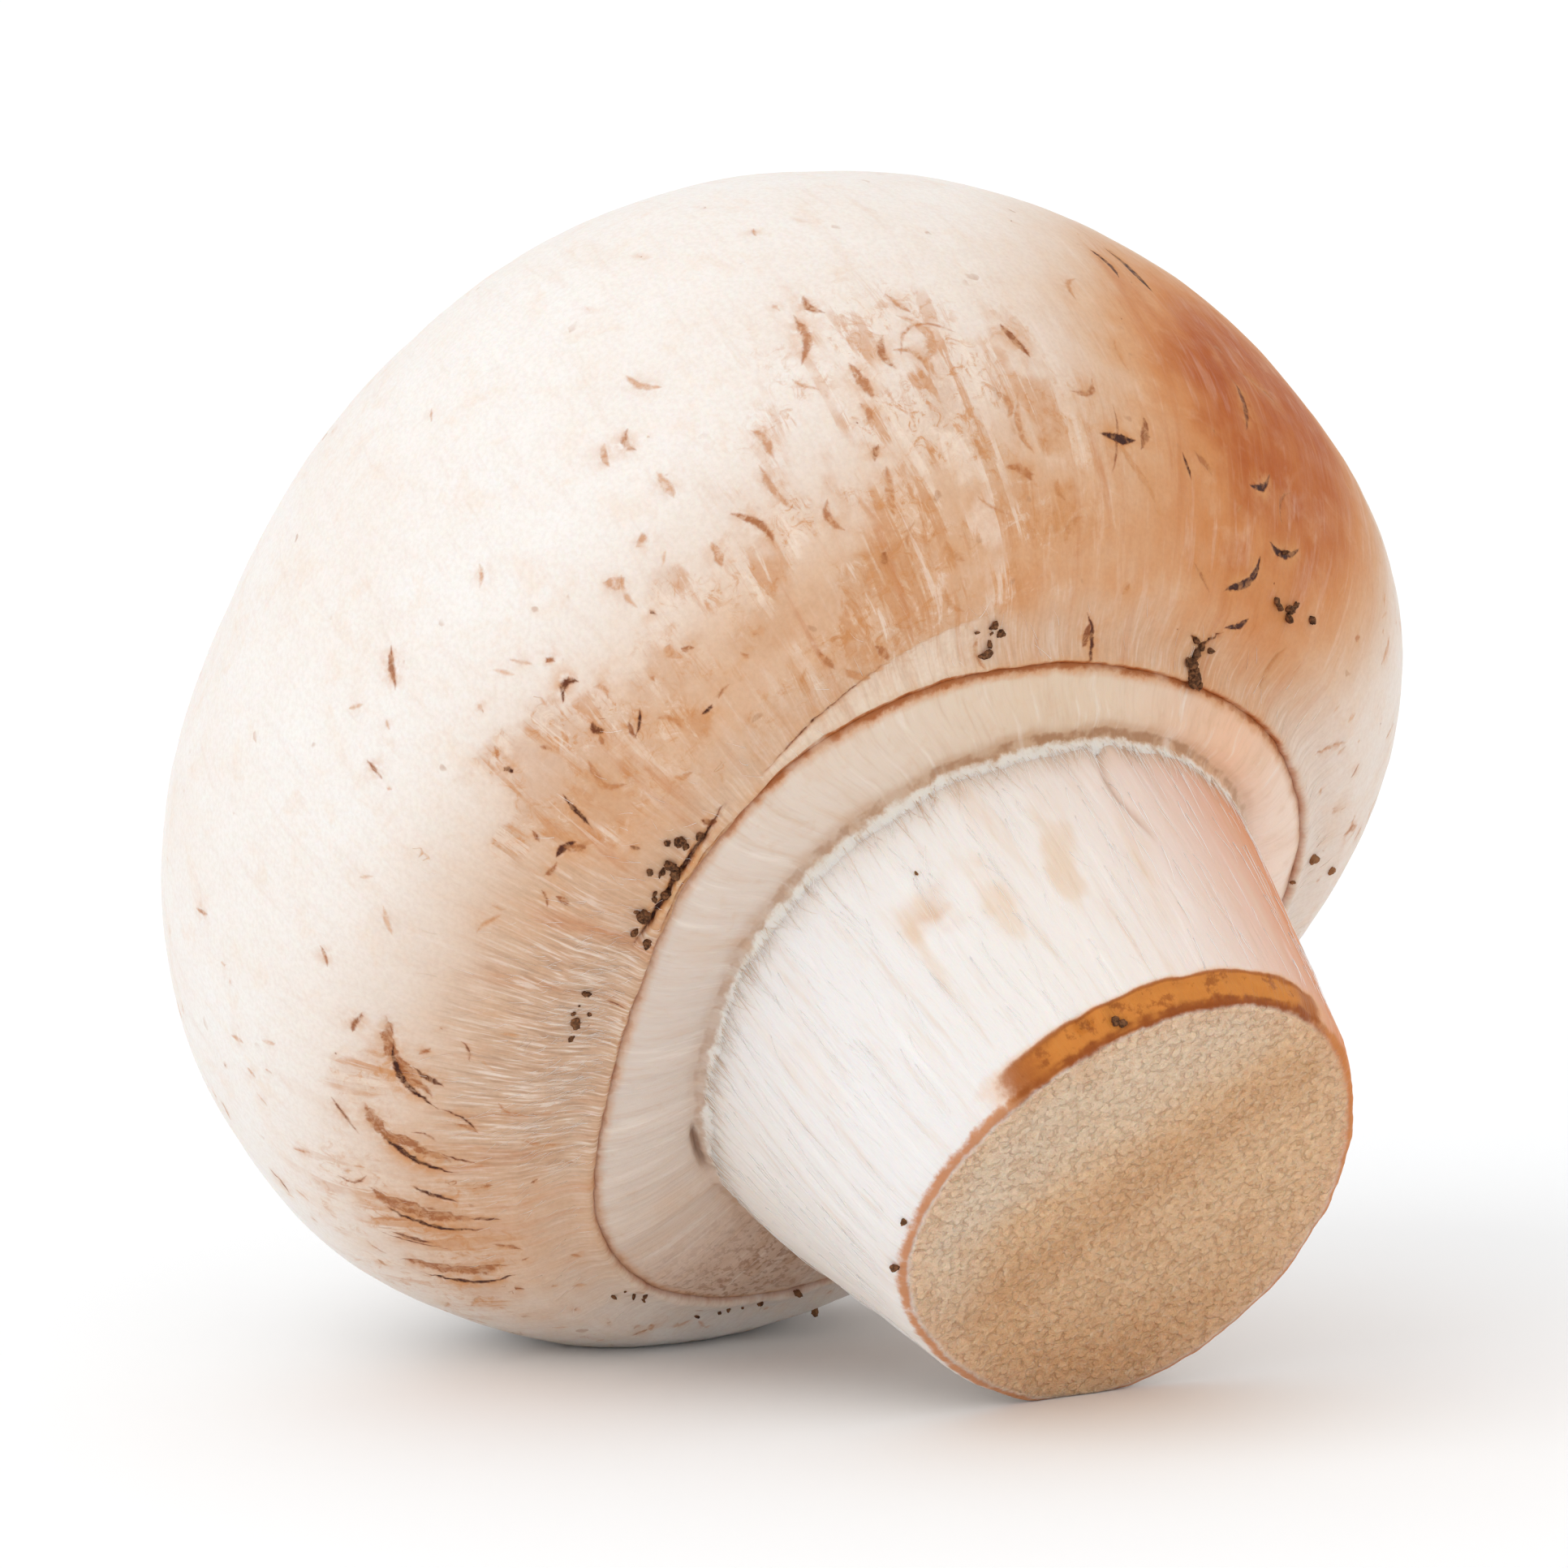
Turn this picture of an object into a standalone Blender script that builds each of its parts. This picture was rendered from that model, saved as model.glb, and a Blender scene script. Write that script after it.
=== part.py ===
"""Button mushroom, picked and lying on its side.

Three pieces: the cap, the closed veil that spans from the cap's margin to the
stem, and the stem with its cut end.  Metres, +Z up, origin on the floor under
the middle of the whole mushroom.

The pieces are turned about the mushroom's own axis (local +Z runs from the
stem to the crown, local z = 0 is the cap's widest section) and then pressed
out of round by a few low lobes, because a real cap is never a true circle.
"""
import math

import bmesh
import bpy
from mathutils import Euler, Vector

MM = 0.001

# ---- driving dimensions, millimetres and degrees ---------------------------
CAP_RADIUS = 24.55          # mean radius of the cap at its widest section
CAP_RISE = 17.6             # crown above the widest section
CAP_DROP = 15.0             # depth that the lower curve of the cap heads for
CAP_POWER_TOP = 2.25        # 2 is an ellipse, more is squarer
CAP_POWER_LOW = 2.45
LIP_START_RADIUS = 18.1     # where the rolled margin leaves the lower curve

MARGIN_RADIUS = 15.6        # the line where cap and veil meet
MARGIN_DEPTH = 12.25
VEIL_THICKNESS = 1.3
VEIL_INNER_RADIUS = 12.3    # where the veil reaches the stem
VEIL_INNER_DEPTH = 13.2
VEIL_CROWNING = 0.22        # how far the veil bulges out between its edges

STEM_TOP_RADIUS = 12.0      # under the veil
STEM_CUT_RADIUS = 10.35     # at the cut end
STEM_TAPER_POWER = 1.45     # 1 is a straight taper, more keeps it thick for longer
STEM_TOP_DEPTH = 6.5        # the stem's upper end, inside the cap
STEM_CUT_DEPTH = 24.7       # the cut face
STEM_CUT_ROUND = 0.35
STEM_SHIFT_VEIL = (0.54, -0.73)     # the stem's centre at the veil
STEM_SHIFT_CUT = (2.1, 0.6)         # and at the cut face: it leans a little

GAP = 0.3                   # clearance between neighbouring pieces

TILT = 34.7                 # the axis dips this far towards the cut end
CENTRE_HEIGHT = 23.0        # widest section's centre above the floor

# lobes: (count round the axis, share of the radius, direction of one lobe)
CAP_LOBES = ((1, 0.004, 94.0), (2, 0.008, 115.0), (3, 0.034, 117.5), (4, 0.007, 59.0))
MARGIN_LOBES = ((1, 0.009, 295.0), (2, 0.042, 84.5), (3, 0.057, 110.5), (4, 0.008, 40.0))
NECK_LOBES = ((2, 0.045, 84.0), (3, 0.030, 98.0))
CUT_LOBES = ((2, 0.065, 54.0), (3, 0.031, 56.5), (4, 0.008, 81.5))

STEPS = 60                  # facets round the axis


def smooth(t):
    t = min(1.0, max(0.0, t))
    return t * t * (3.0 - 2.0 * t)


def lobed(lobes, angle):
    return 1.0 + sum(a * math.cos(k * (angle - math.radians(d))) for k, a, d in lobes)


# ---- how each turned section is pressed out of round ------------------------
def press_cap(r, z, angle):
    """The cap's lobes turn into the margin's lobes from its widest section
    down to the margin.  Inside, the veil's seat keeps the margin's lobes and
    the stem's socket keeps the stem's own shape."""
    if z < 0.0 and r < STEM_TOP_RADIUS + GAP + 0.01:
        return press_stem(r, z, angle)
    w = 1.0 if r < MARGIN_RADIUS + 0.01 and z < 0.0 else smooth((-z - 6.0) / (MARGIN_DEPTH - 6.0))
    f = (1.0 - w) * lobed(CAP_LOBES, angle) + w * lobed(MARGIN_LOBES, angle)
    return r * f * math.cos(angle), r * f * math.sin(angle), z


def stem_centre(z):
    t = smooth(0.5 * max(0.0, -z - 12.0) / (STEM_CUT_DEPTH - 12.0)) * 2.0
    ax, ay = STEM_SHIFT_VEIL
    bx, by = STEM_SHIFT_CUT
    return ax + (bx - ax) * t, ay + (by - ay) * t


def press_stem(r, z, angle):
    """The stem's section goes from its shape at the veil to its shape at the
    cut, while its centre drifts sideways."""
    w = smooth((-z - 13.0) / (STEM_CUT_DEPTH - 13.0))
    f = (1.0 - w) * lobed(NECK_LOBES, angle) + w * lobed(CUT_LOBES, angle)
    cx, cy = stem_centre(z)
    return cx + r * f * math.cos(angle), cy + r * f * math.sin(angle), z


def press_veil(r, z, angle):
    """Outside the veil follows the margin, inside it follows the stem."""
    w = smooth((r - VEIL_INNER_RADIUS) / (MARGIN_RADIUS - GAP - VEIL_INNER_RADIUS))
    xo, yo, _ = press_cap(r, -MARGIN_DEPTH, angle)
    xi, yi, _ = press_stem(r, -MARGIN_DEPTH, angle)
    return xi + (xo - xi) * w, yi + (yo - yi) * w, z


# ---- half sections, from the axis or round a closed loop --------------------
def cap_section():
    pts = []
    for i in range(13):
        t = math.pi / 2 * (1.0 - i / 12.0)
        pts.append((CAP_RADIUS * abs(math.cos(t)) ** (2 / CAP_POWER_TOP) if i else 0.0,
                    CAP_RISE * math.sin(t) ** (2 / CAP_POWER_TOP)))
    t_lip = math.acos((LIP_START_RADIUS / CAP_RADIUS) ** (CAP_POWER_LOW / 2))
    for i in range(1, 9):
        t = t_lip * i / 8.0
        pts.append((CAP_RADIUS * math.cos(t) ** (2 / CAP_POWER_LOW),
                    -CAP_DROP * math.sin(t) ** (2 / CAP_POWER_LOW)))
    # the margin rolls over, down past the veil and back up to meet it
    r0, z0 = pts[-1]
    low = MARGIN_DEPTH + 0.25
    for i in range(1, 5):
        a = math.pi / 2 * i / 5.0
        pts.append((r0 - (r0 - MARGIN_RADIUS - 0.45) * math.sin(a),
                    z0 - (low + z0) * (1.0 - math.cos(a)) ** 0.8))
    pts.append((MARGIN_RADIUS + 0.25, -low))
    pts.append((MARGIN_RADIUS, -MARGIN_DEPTH))
    # seat of the veil, then the socket of the stem
    seat = MARGIN_DEPTH - VEIL_THICKNESS - GAP
    pts.append((MARGIN_RADIUS, -seat))
    pts.append((STEM_TOP_RADIUS + GAP, -seat))
    pts.append((STEM_TOP_RADIUS + GAP, -(STEM_TOP_DEPTH - GAP)))
    pts.append((0.0, -(STEM_TOP_DEPTH - GAP)))
    return pts


def stem_radius(z):
    t = max(0.0, (-z - VEIL_INNER_DEPTH) / (STEM_CUT_DEPTH - VEIL_INNER_DEPTH))
    return STEM_TOP_RADIUS + (STEM_CUT_RADIUS - STEM_TOP_RADIUS) * t ** STEM_TAPER_POWER


def stem_section():
    pts = [(0.0, -STEM_TOP_DEPTH), (STEM_TOP_RADIUS, -STEM_TOP_DEPTH),
           (STEM_TOP_RADIUS, -10.4)]
    last = STEM_CUT_DEPTH - STEM_CUT_ROUND
    z = 12.6
    while z < last - 0.3:
        pts.append((stem_radius(-z), -z))
        z += 0.55 + 0.13 * (z - 12.6)
    pts.append((stem_radius(-last), -last))
    r = stem_radius(-STEM_CUT_DEPTH)
    pts.append((r - 0.3 * STEM_CUT_ROUND, -(STEM_CUT_DEPTH - 0.3 * STEM_CUT_ROUND)))
    pts.append((r - STEM_CUT_ROUND, -STEM_CUT_DEPTH))
    pts.append((0.0, -STEM_CUT_DEPTH))
    return pts


def veil_section():
    ro, ri = MARGIN_RADIUS - GAP, VEIL_INNER_RADIUS
    pts = [(ri, -(MARGIN_DEPTH - VEIL_THICKNESS)), (ro, -(MARGIN_DEPTH - VEIL_THICKNESS))]
    for i in range(7):
        t = i / 6.0
        pts.append((ro + (ri - ro) * t,
                    -(MARGIN_DEPTH + (VEIL_INNER_DEPTH - MARGIN_DEPTH) * t
                      + VEIL_CROWNING * math.sin(math.pi * t))))
    return pts


# ---- turning ----------------------------------------------------------------
def turn(section, press, closed):
    bm = bmesh.new()
    verts = [bm.verts.new((r, 0.0, z)) for r, z in section]
    edges = [bm.edges.new(p) for p in zip(verts, verts[1:])]
    if closed:
        edges.append(bm.edges.new((verts[-1], verts[0])))
    bmesh.ops.spin(bm, geom=verts + edges, cent=(0, 0, 0), axis=(0, 0, 1),
                   dvec=(0, 0, 0), angle=2 * math.pi, steps=STEPS,
                   use_merge=True, use_duplicate=False)
    bmesh.ops.remove_doubles(bm, verts=bm.verts, dist=0.0005)
    for v in bm.verts:
        r = math.hypot(v.co.x, v.co.y)
        a = math.atan2(v.co.y, v.co.x)
        v.co = Vector(press(r, v.co.z, a)) * MM
    bmesh.ops.recalc_face_normals(bm, faces=bm.faces)
    return bm


def rest_on_floor(bm, turned):
    """Flattens what would reach below the floor: the touching faces."""
    floor = turned.inverted() @ Vector((0, 0, 0))
    normal = (turned.inverted().to_3x3() @ Vector((0, 0, 1))).normalized()
    cut = bmesh.ops.bisect_plane(bm, geom=bm.verts[:] + bm.edges[:] + bm.faces[:],
                                 dist=0.000001, plane_co=floor, plane_no=-normal,
                                 clear_outer=True)
    edges = [g for g in cut["geom_cut"] if isinstance(g, bmesh.types.BMEdge)]
    for v in {v for e in edges for v in e.verts}:
        v.co -= normal * (v.co - floor).dot(normal)
    if edges:
        bmesh.ops.contextual_create(bm, geom=edges)
    bmesh.ops.recalc_face_normals(bm, faces=bm.faces)


def flat_cut_face(bm, normal_z):
    """Makes one face of the turned fan at an end."""
    fan = [f for f in bm.faces if f.normal.z * normal_z > 0.9999
           and any(math.hypot(v.co.x, v.co.y) < 0.004 for v in f.verts)]
    if fan:
        bmesh.ops.dissolve_faces(bm, faces=fan)


def centring_shift(meshes, turned):
    """The move in X and Y that puts the whole mushroom's box over the origin."""
    pts = [turned @ v.co for bm in meshes for v in bm.verts]
    return [-0.5 * (min(p[i] for p in pts) + max(p[i] for p in pts)) for i in (0, 1)]


def flesh(name, colour, roughness):
    mat = bpy.data.materials.new(name)
    mat.use_nodes = True
    bsdf = mat.node_tree.nodes["Principled BSDF"]
    bsdf.inputs["Base Color"].default_value = (*colour, 1.0)
    bsdf.inputs["Roughness"].default_value = roughness
    bsdf.inputs["Metallic"].default_value = 0.0
    bsdf.inputs["Subsurface Weight"].default_value = 0.2
    bsdf.inputs["Subsurface Radius"].default_value = (1.0, 0.6, 0.35)
    bsdf.inputs["Subsurface Scale"].default_value = 0.002
    return mat


def place(name, bm, parent, mat):
    mesh = bpy.data.meshes.new(name)
    bm.normal_update()
    bm.to_mesh(mesh)
    bm.free()
    mesh.materials.append(mat)
    mesh.shade_smooth()
    mesh.set_sharp_from_angle(angle=math.radians(40))
    obj = bpy.data.objects.new(name, mesh)
    bpy.context.scene.collection.objects.link(obj)
    obj.parent = parent
    return obj


def main():
    for old in list(bpy.data.objects):
        bpy.data.objects.remove(old, do_unlink=True)

    axis = bpy.data.objects.new("mushroom_axis", None)
    bpy.context.scene.collection.objects.link(axis)
    # local +Z (towards the crown) rises backwards: the cut end is at the front
    axis.rotation_euler = Euler((-math.radians(90.0 - TILT), 0.0, 0.0))
    axis.location = (0.0, 0.0, CENTRE_HEIGHT * MM)
    bpy.context.view_layer.update()
    turned = axis.matrix_world.copy()

    cap = turn(cap_section(), press_cap, closed=False)
    veil = turn(veil_section(), press_veil, closed=True)
    stem = turn(stem_section(), press_stem, closed=False)
    flat_cut_face(stem, -1)
    for bm in (cap, stem):
        rest_on_floor(bm, turned)
    axis.location.xy = centring_shift([cap, veil, stem], turned)

    place("cap", cap, axis, flesh("cap_skin", (0.82, 0.72, 0.60), 0.55))
    place("veil", veil, axis, flesh("veil_skin", (0.74, 0.66, 0.56), 0.65))
    place("stem", stem, axis, flesh("stem_flesh", (0.84, 0.76, 0.67), 0.6))


main()
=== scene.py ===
import math

import bmesh
import bpy
import numpy as np
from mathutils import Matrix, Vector

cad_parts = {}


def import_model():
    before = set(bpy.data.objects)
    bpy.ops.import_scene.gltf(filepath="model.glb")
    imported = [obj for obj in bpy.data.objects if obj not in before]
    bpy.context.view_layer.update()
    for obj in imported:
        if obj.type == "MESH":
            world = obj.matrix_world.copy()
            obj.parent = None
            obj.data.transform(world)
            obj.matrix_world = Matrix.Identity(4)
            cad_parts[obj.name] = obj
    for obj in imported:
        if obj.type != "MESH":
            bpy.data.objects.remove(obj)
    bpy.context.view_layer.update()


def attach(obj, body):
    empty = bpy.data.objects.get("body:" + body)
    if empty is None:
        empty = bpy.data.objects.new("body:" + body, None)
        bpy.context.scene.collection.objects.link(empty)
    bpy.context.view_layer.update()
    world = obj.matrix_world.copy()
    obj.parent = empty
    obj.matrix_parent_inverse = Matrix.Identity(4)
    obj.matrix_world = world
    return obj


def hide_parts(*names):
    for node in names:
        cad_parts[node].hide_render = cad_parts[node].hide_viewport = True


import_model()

# ---------------------------------------------------------------------------
# Where the mushroom's own axis lies.  Local +Z runs from the stem to the
# crown, local z = 0 is the cap's widest section, all local lengths are mm.
# ---------------------------------------------------------------------------
TILT = math.radians(34.7)
CENTRE = np.array((-0.82070, 2.43397, 23.0))            # mm
AX = np.array((1.0, 0.0, 0.0))
AY = np.array((0.0, math.sin(TILT), -math.cos(TILT)))
AZ = np.array((0.0, math.cos(TILT), math.sin(TILT)))

CAP_RADIUS, CAP_RISE, CAP_DROP = 24.55, 17.6, 15.0
CAP_POWER_TOP, CAP_POWER_LOW = 2.25, 2.45
LIP_START_RADIUS = 18.1
MARGIN_RADIUS, MARGIN_DEPTH = 15.6, 12.25
VEIL_THICKNESS, VEIL_INNER_RADIUS, VEIL_INNER_DEPTH, VEIL_CROWNING = 1.3, 12.3, 13.2, 0.22
STEM_TOP_RADIUS, STEM_CUT_RADIUS, STEM_TAPER_POWER = 12.0, 10.35, 1.45
STEM_TOP_DEPTH, STEM_CUT_DEPTH = 6.5, 24.7
STEM_SHIFT_VEIL, STEM_SHIFT_CUT = (0.54, -0.73), (2.1, 0.6)
GAP = 0.3
CAP_LOBES = ((1, 0.004, 94.0), (2, 0.008, 115.0), (3, 0.034, 117.5), (4, 0.007, 59.0))
MARGIN_LOBES = ((1, 0.009, 295.0), (2, 0.042, 84.5), (3, 0.057, 110.5), (4, 0.008, 40.0))
NECK_LOBES = ((2, 0.045, 84.0), (3, 0.030, 98.0))
CUT_LOBES = ((2, 0.065, 54.0), (3, 0.031, 56.5), (4, 0.008, 81.5))


def world(p):
    """Local mm to world mm."""
    p = np.asarray(p, float)
    return CENTRE + p[..., 0:1] * AX + p[..., 1:2] * AY + p[..., 2:3] * AZ


def sstep(t):
    t = np.clip(t, 0.0, 1.0)
    return t * t * (3.0 - 2.0 * t)


def ramp(x, a, b):
    return sstep((x - a) / (b - a))


def lobed(lobes, ang):
    return 1.0 + sum(a * np.cos(k * (ang - math.radians(d))) for k, a, d in lobes)


def turn_of(deg, centre):
    """Signed angle in degrees from centre, in -180..180."""
    return (deg - centre + 180.0) % 360.0 - 180.0


# ---------------------------------------------------------------------------
# Smooth random fields in three dimensions, the same every run.
# ---------------------------------------------------------------------------
_perm = np.random.RandomState(7).permutation(256)
_perm = np.concatenate([_perm, _perm, _perm])
_grad = np.random.RandomState(11).normal(size=(256, 3))
_grad /= np.linalg.norm(_grad, axis=1)[:, None]


def noise3(p, seed=0):
    p = np.asarray(p, float)
    shape = p.shape[:-1]
    q = p.reshape(-1, 3) + seed * 17.37
    i = np.floor(q).astype(np.int64)
    f = q - i
    u = f * f * f * (f * (f * 6 - 15) + 10)
    out = np.zeros(len(q))
    for dx in (0, 1):
        wx = u[:, 0] if dx else 1 - u[:, 0]
        hx = _perm[(i[:, 0] + dx) & 255]
        for dy in (0, 1):
            wy = u[:, 1] if dy else 1 - u[:, 1]
            hy = _perm[hx + ((i[:, 1] + dy) & 255)]
            for dz in (0, 1):
                wz = u[:, 2] if dz else 1 - u[:, 2]
                g = _grad[_perm[hy + ((i[:, 2] + dz) & 255)]]
                d = (g * (f - (dx, dy, dz))).sum(1)
                out += wx * wy * wz * d
    return (out * 1.6).reshape(shape)


def fbm(p, size, octaves=3, seed=0, gain=0.5):
    """size is the largest feature, in the units of p."""
    p = np.asarray(p, float) / size
    total, amp, norm = 0.0, 1.0, 0.0
    for o in range(octaves):
        total = total + amp * noise3(p * 2.03 ** o, seed + 3 * o)
        norm += amp
        amp *= gain
    return total / norm


# ---------------------------------------------------------------------------
# The turned sections pressed out of round, as in the CAD model.
# ---------------------------------------------------------------------------
def margin_jitter(ang):
    """The cap's edge is a little ragged."""
    c = np.stack([np.cos(ang) * 15.6, np.sin(ang) * 15.6, np.zeros_like(ang)], -1)
    return 0.10 * fbm(c, 3.4, 3, seed=21) + 0.05 * fbm(c, 0.9, 2, seed=22)


def neck_jitter(ang):
    c = np.stack([np.cos(ang) * 12.0, np.sin(ang) * 12.0, np.zeros_like(ang)], -1)
    return 0.16 * fbm(c, 2.6, 3, seed=31) + 0.07 * fbm(c, 0.7, 2, seed=32)


def stem_centre(z):
    t = sstep(0.5 * np.maximum(0.0, -z - 12.0) / (STEM_CUT_DEPTH - 12.0)) * 2.0
    ax, ay = STEM_SHIFT_VEIL
    bx, by = STEM_SHIFT_CUT
    return ax + (bx - ax) * t, ay + (by - ay) * t


def press_stem(r, z, ang):
    w = ramp(-z, 13.0, STEM_CUT_DEPTH)
    f = (1.0 - w) * lobed(NECK_LOBES, ang) + w * lobed(CUT_LOBES, ang)
    cx, cy = stem_centre(z)
    return np.stack([cx + r * f * np.cos(ang), cy + r * f * np.sin(ang), z + 0 * ang], -1)


def press_cap(r, z, ang, w=None):
    if w is None:
        w = ramp(-z, 6.0, MARGIN_DEPTH)
    f = (1.0 - w) * lobed(CAP_LOBES, ang) + w * lobed(MARGIN_LOBES, ang)
    return np.stack([r * f * np.cos(ang), r * f * np.sin(ang), z + 0 * ang], -1)


def resample(points, spacing):
    """points: a fine polyline.  spacing(i, length) gives the wanted step."""
    p = np.asarray(points, float)
    length = np.r_[0, np.cumsum(np.hypot(*np.diff(p, axis=0).T))]
    at, out = 0.0, []
    while at < length[-1]:
        out.append(at)
        x, z = np.interp(at, length, p[:, 0]), np.interp(at, length, p[:, 1])
        at += spacing(x, z, at, length[-1])
    if length[-1] - out[-1] < 0.4 * spacing(x, z, at, length[-1]):
        out[-1] = length[-1]
    else:
        out.append(length[-1])
    out = np.array(out)
    return np.stack([np.interp(out, length, p[:, 0]), np.interp(out, length, p[:, 1])], 1), out


def chaikin(p, rounds=2):
    p = np.asarray(p, float)
    for _ in range(rounds):
        a = 0.75 * p[:-1] + 0.25 * p[1:]
        b = 0.25 * p[:-1] + 0.75 * p[1:]
        p = np.concatenate([p[:1], np.stack([a, b], 1).reshape(-1, 2), p[-1:]])
    return p


# ---------------------------------------------------------------------------
# Marks drawn along lines on a turned surface.
# ---------------------------------------------------------------------------
class Marks:
    """Lines on a surface with coordinates (angle in degrees, s in mm).  For
    every vertex it keeps the signed distance to the nearest line, the line's
    half width there, and how dark the line is."""

    def __init__(self, deg, s, radius, warp):
        self.deg, self.s, self.radius, self.warp = deg, s, radius, warp
        n = len(deg)
        self.d = np.full(n, 9.0)
        self.w = np.full(n, -1.0)
        self.dark = np.zeros(n)
        self.depth = np.zeros(n)
        self.score = np.full(n, 1e9)

    def line(self, pts, half, dark=0.5, depth=0.0, flat_ends=False):
        pts = np.asarray(pts, float)
        mid = pts.mean(0)
        reach = half * 3.0 + 1.2
        k = np.interp(mid[1], self._rs_s, self._rs_r) * math.pi / 180.0
        ux = turn_of(pts[:, 0], mid[0]) * k
        uy = pts[:, 1] - mid[1]
        vx = turn_of(self.deg, mid[0]) * (self.radius * math.pi / 180.0)
        vy = self.s - mid[1]
        near = np.nonzero((vx > ux.min() - reach) & (vx < ux.max() + reach)
                          & (vy > uy.min() - reach) & (vy < uy.max() + reach))[0]
        if not len(near):
            return
        give = min(1.0, half * 3.2)
        px = vx[near] + give * self.warp[near, 0]
        py = vy[near] + give * self.warp[near, 1]
        seg = np.hypot(np.diff(ux), np.diff(uy))
        total = seg.sum()
        best = np.full(len(near), 1e9)
        sd = np.zeros(len(near))
        tt = np.zeros(len(near))
        run = 0.0
        for i in range(len(seg)):
            ax, ay, bx, by = ux[i], uy[i], ux[i + 1], uy[i + 1]
            dx, dy = bx - ax, by - ay
            t = ((px - ax) * dx + (py - ay) * dy) / (seg[i] ** 2 + 1e-12)
            tc = np.clip(t, 0, 1)
            d = np.hypot(px - ax - tc * dx, py - ay - tc * dy)
            side = np.sign((px - ax) * dy - (py - ay) * dx)
            hit = d < best
            best[hit] = d[hit]
            sd[hit] = (side * d)[hit]
            lo = t if i == 0 else tc
            hi = t if i == len(seg) - 1 else tc
            along = run + np.where(t < 0, lo, np.where(t > 1, hi, tc)) * seg[i]
            tt[hit] = (along / total)[hit]
            run += seg[i]
        taper = 1.0 - np.abs(2.0 * tt - 1.0) ** (6.0 if flat_ends else 2.2)
        w = half * np.clip(taper, -1.0, 1.0)
        score = best - w
        win = score < self.score[near]
        idx = near[win]
        self.score[idx] = score[win]
        self.d[idx] = sd[win]
        self.w[idx] = w[win]
        self.dark[idx] = dark
        self.depth[idx] = depth

    def radius_table(self, s, r):
        order = np.argsort(s)
        self._rs_s, self._rs_r = np.asarray(s)[order], np.asarray(r)[order]

    def cover(self, soft=0.08):
        """1 on a line, 0 off it."""
        return sstep((self.w - np.abs(self.d)) / soft + 0.5) * (self.w > 0)


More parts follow.
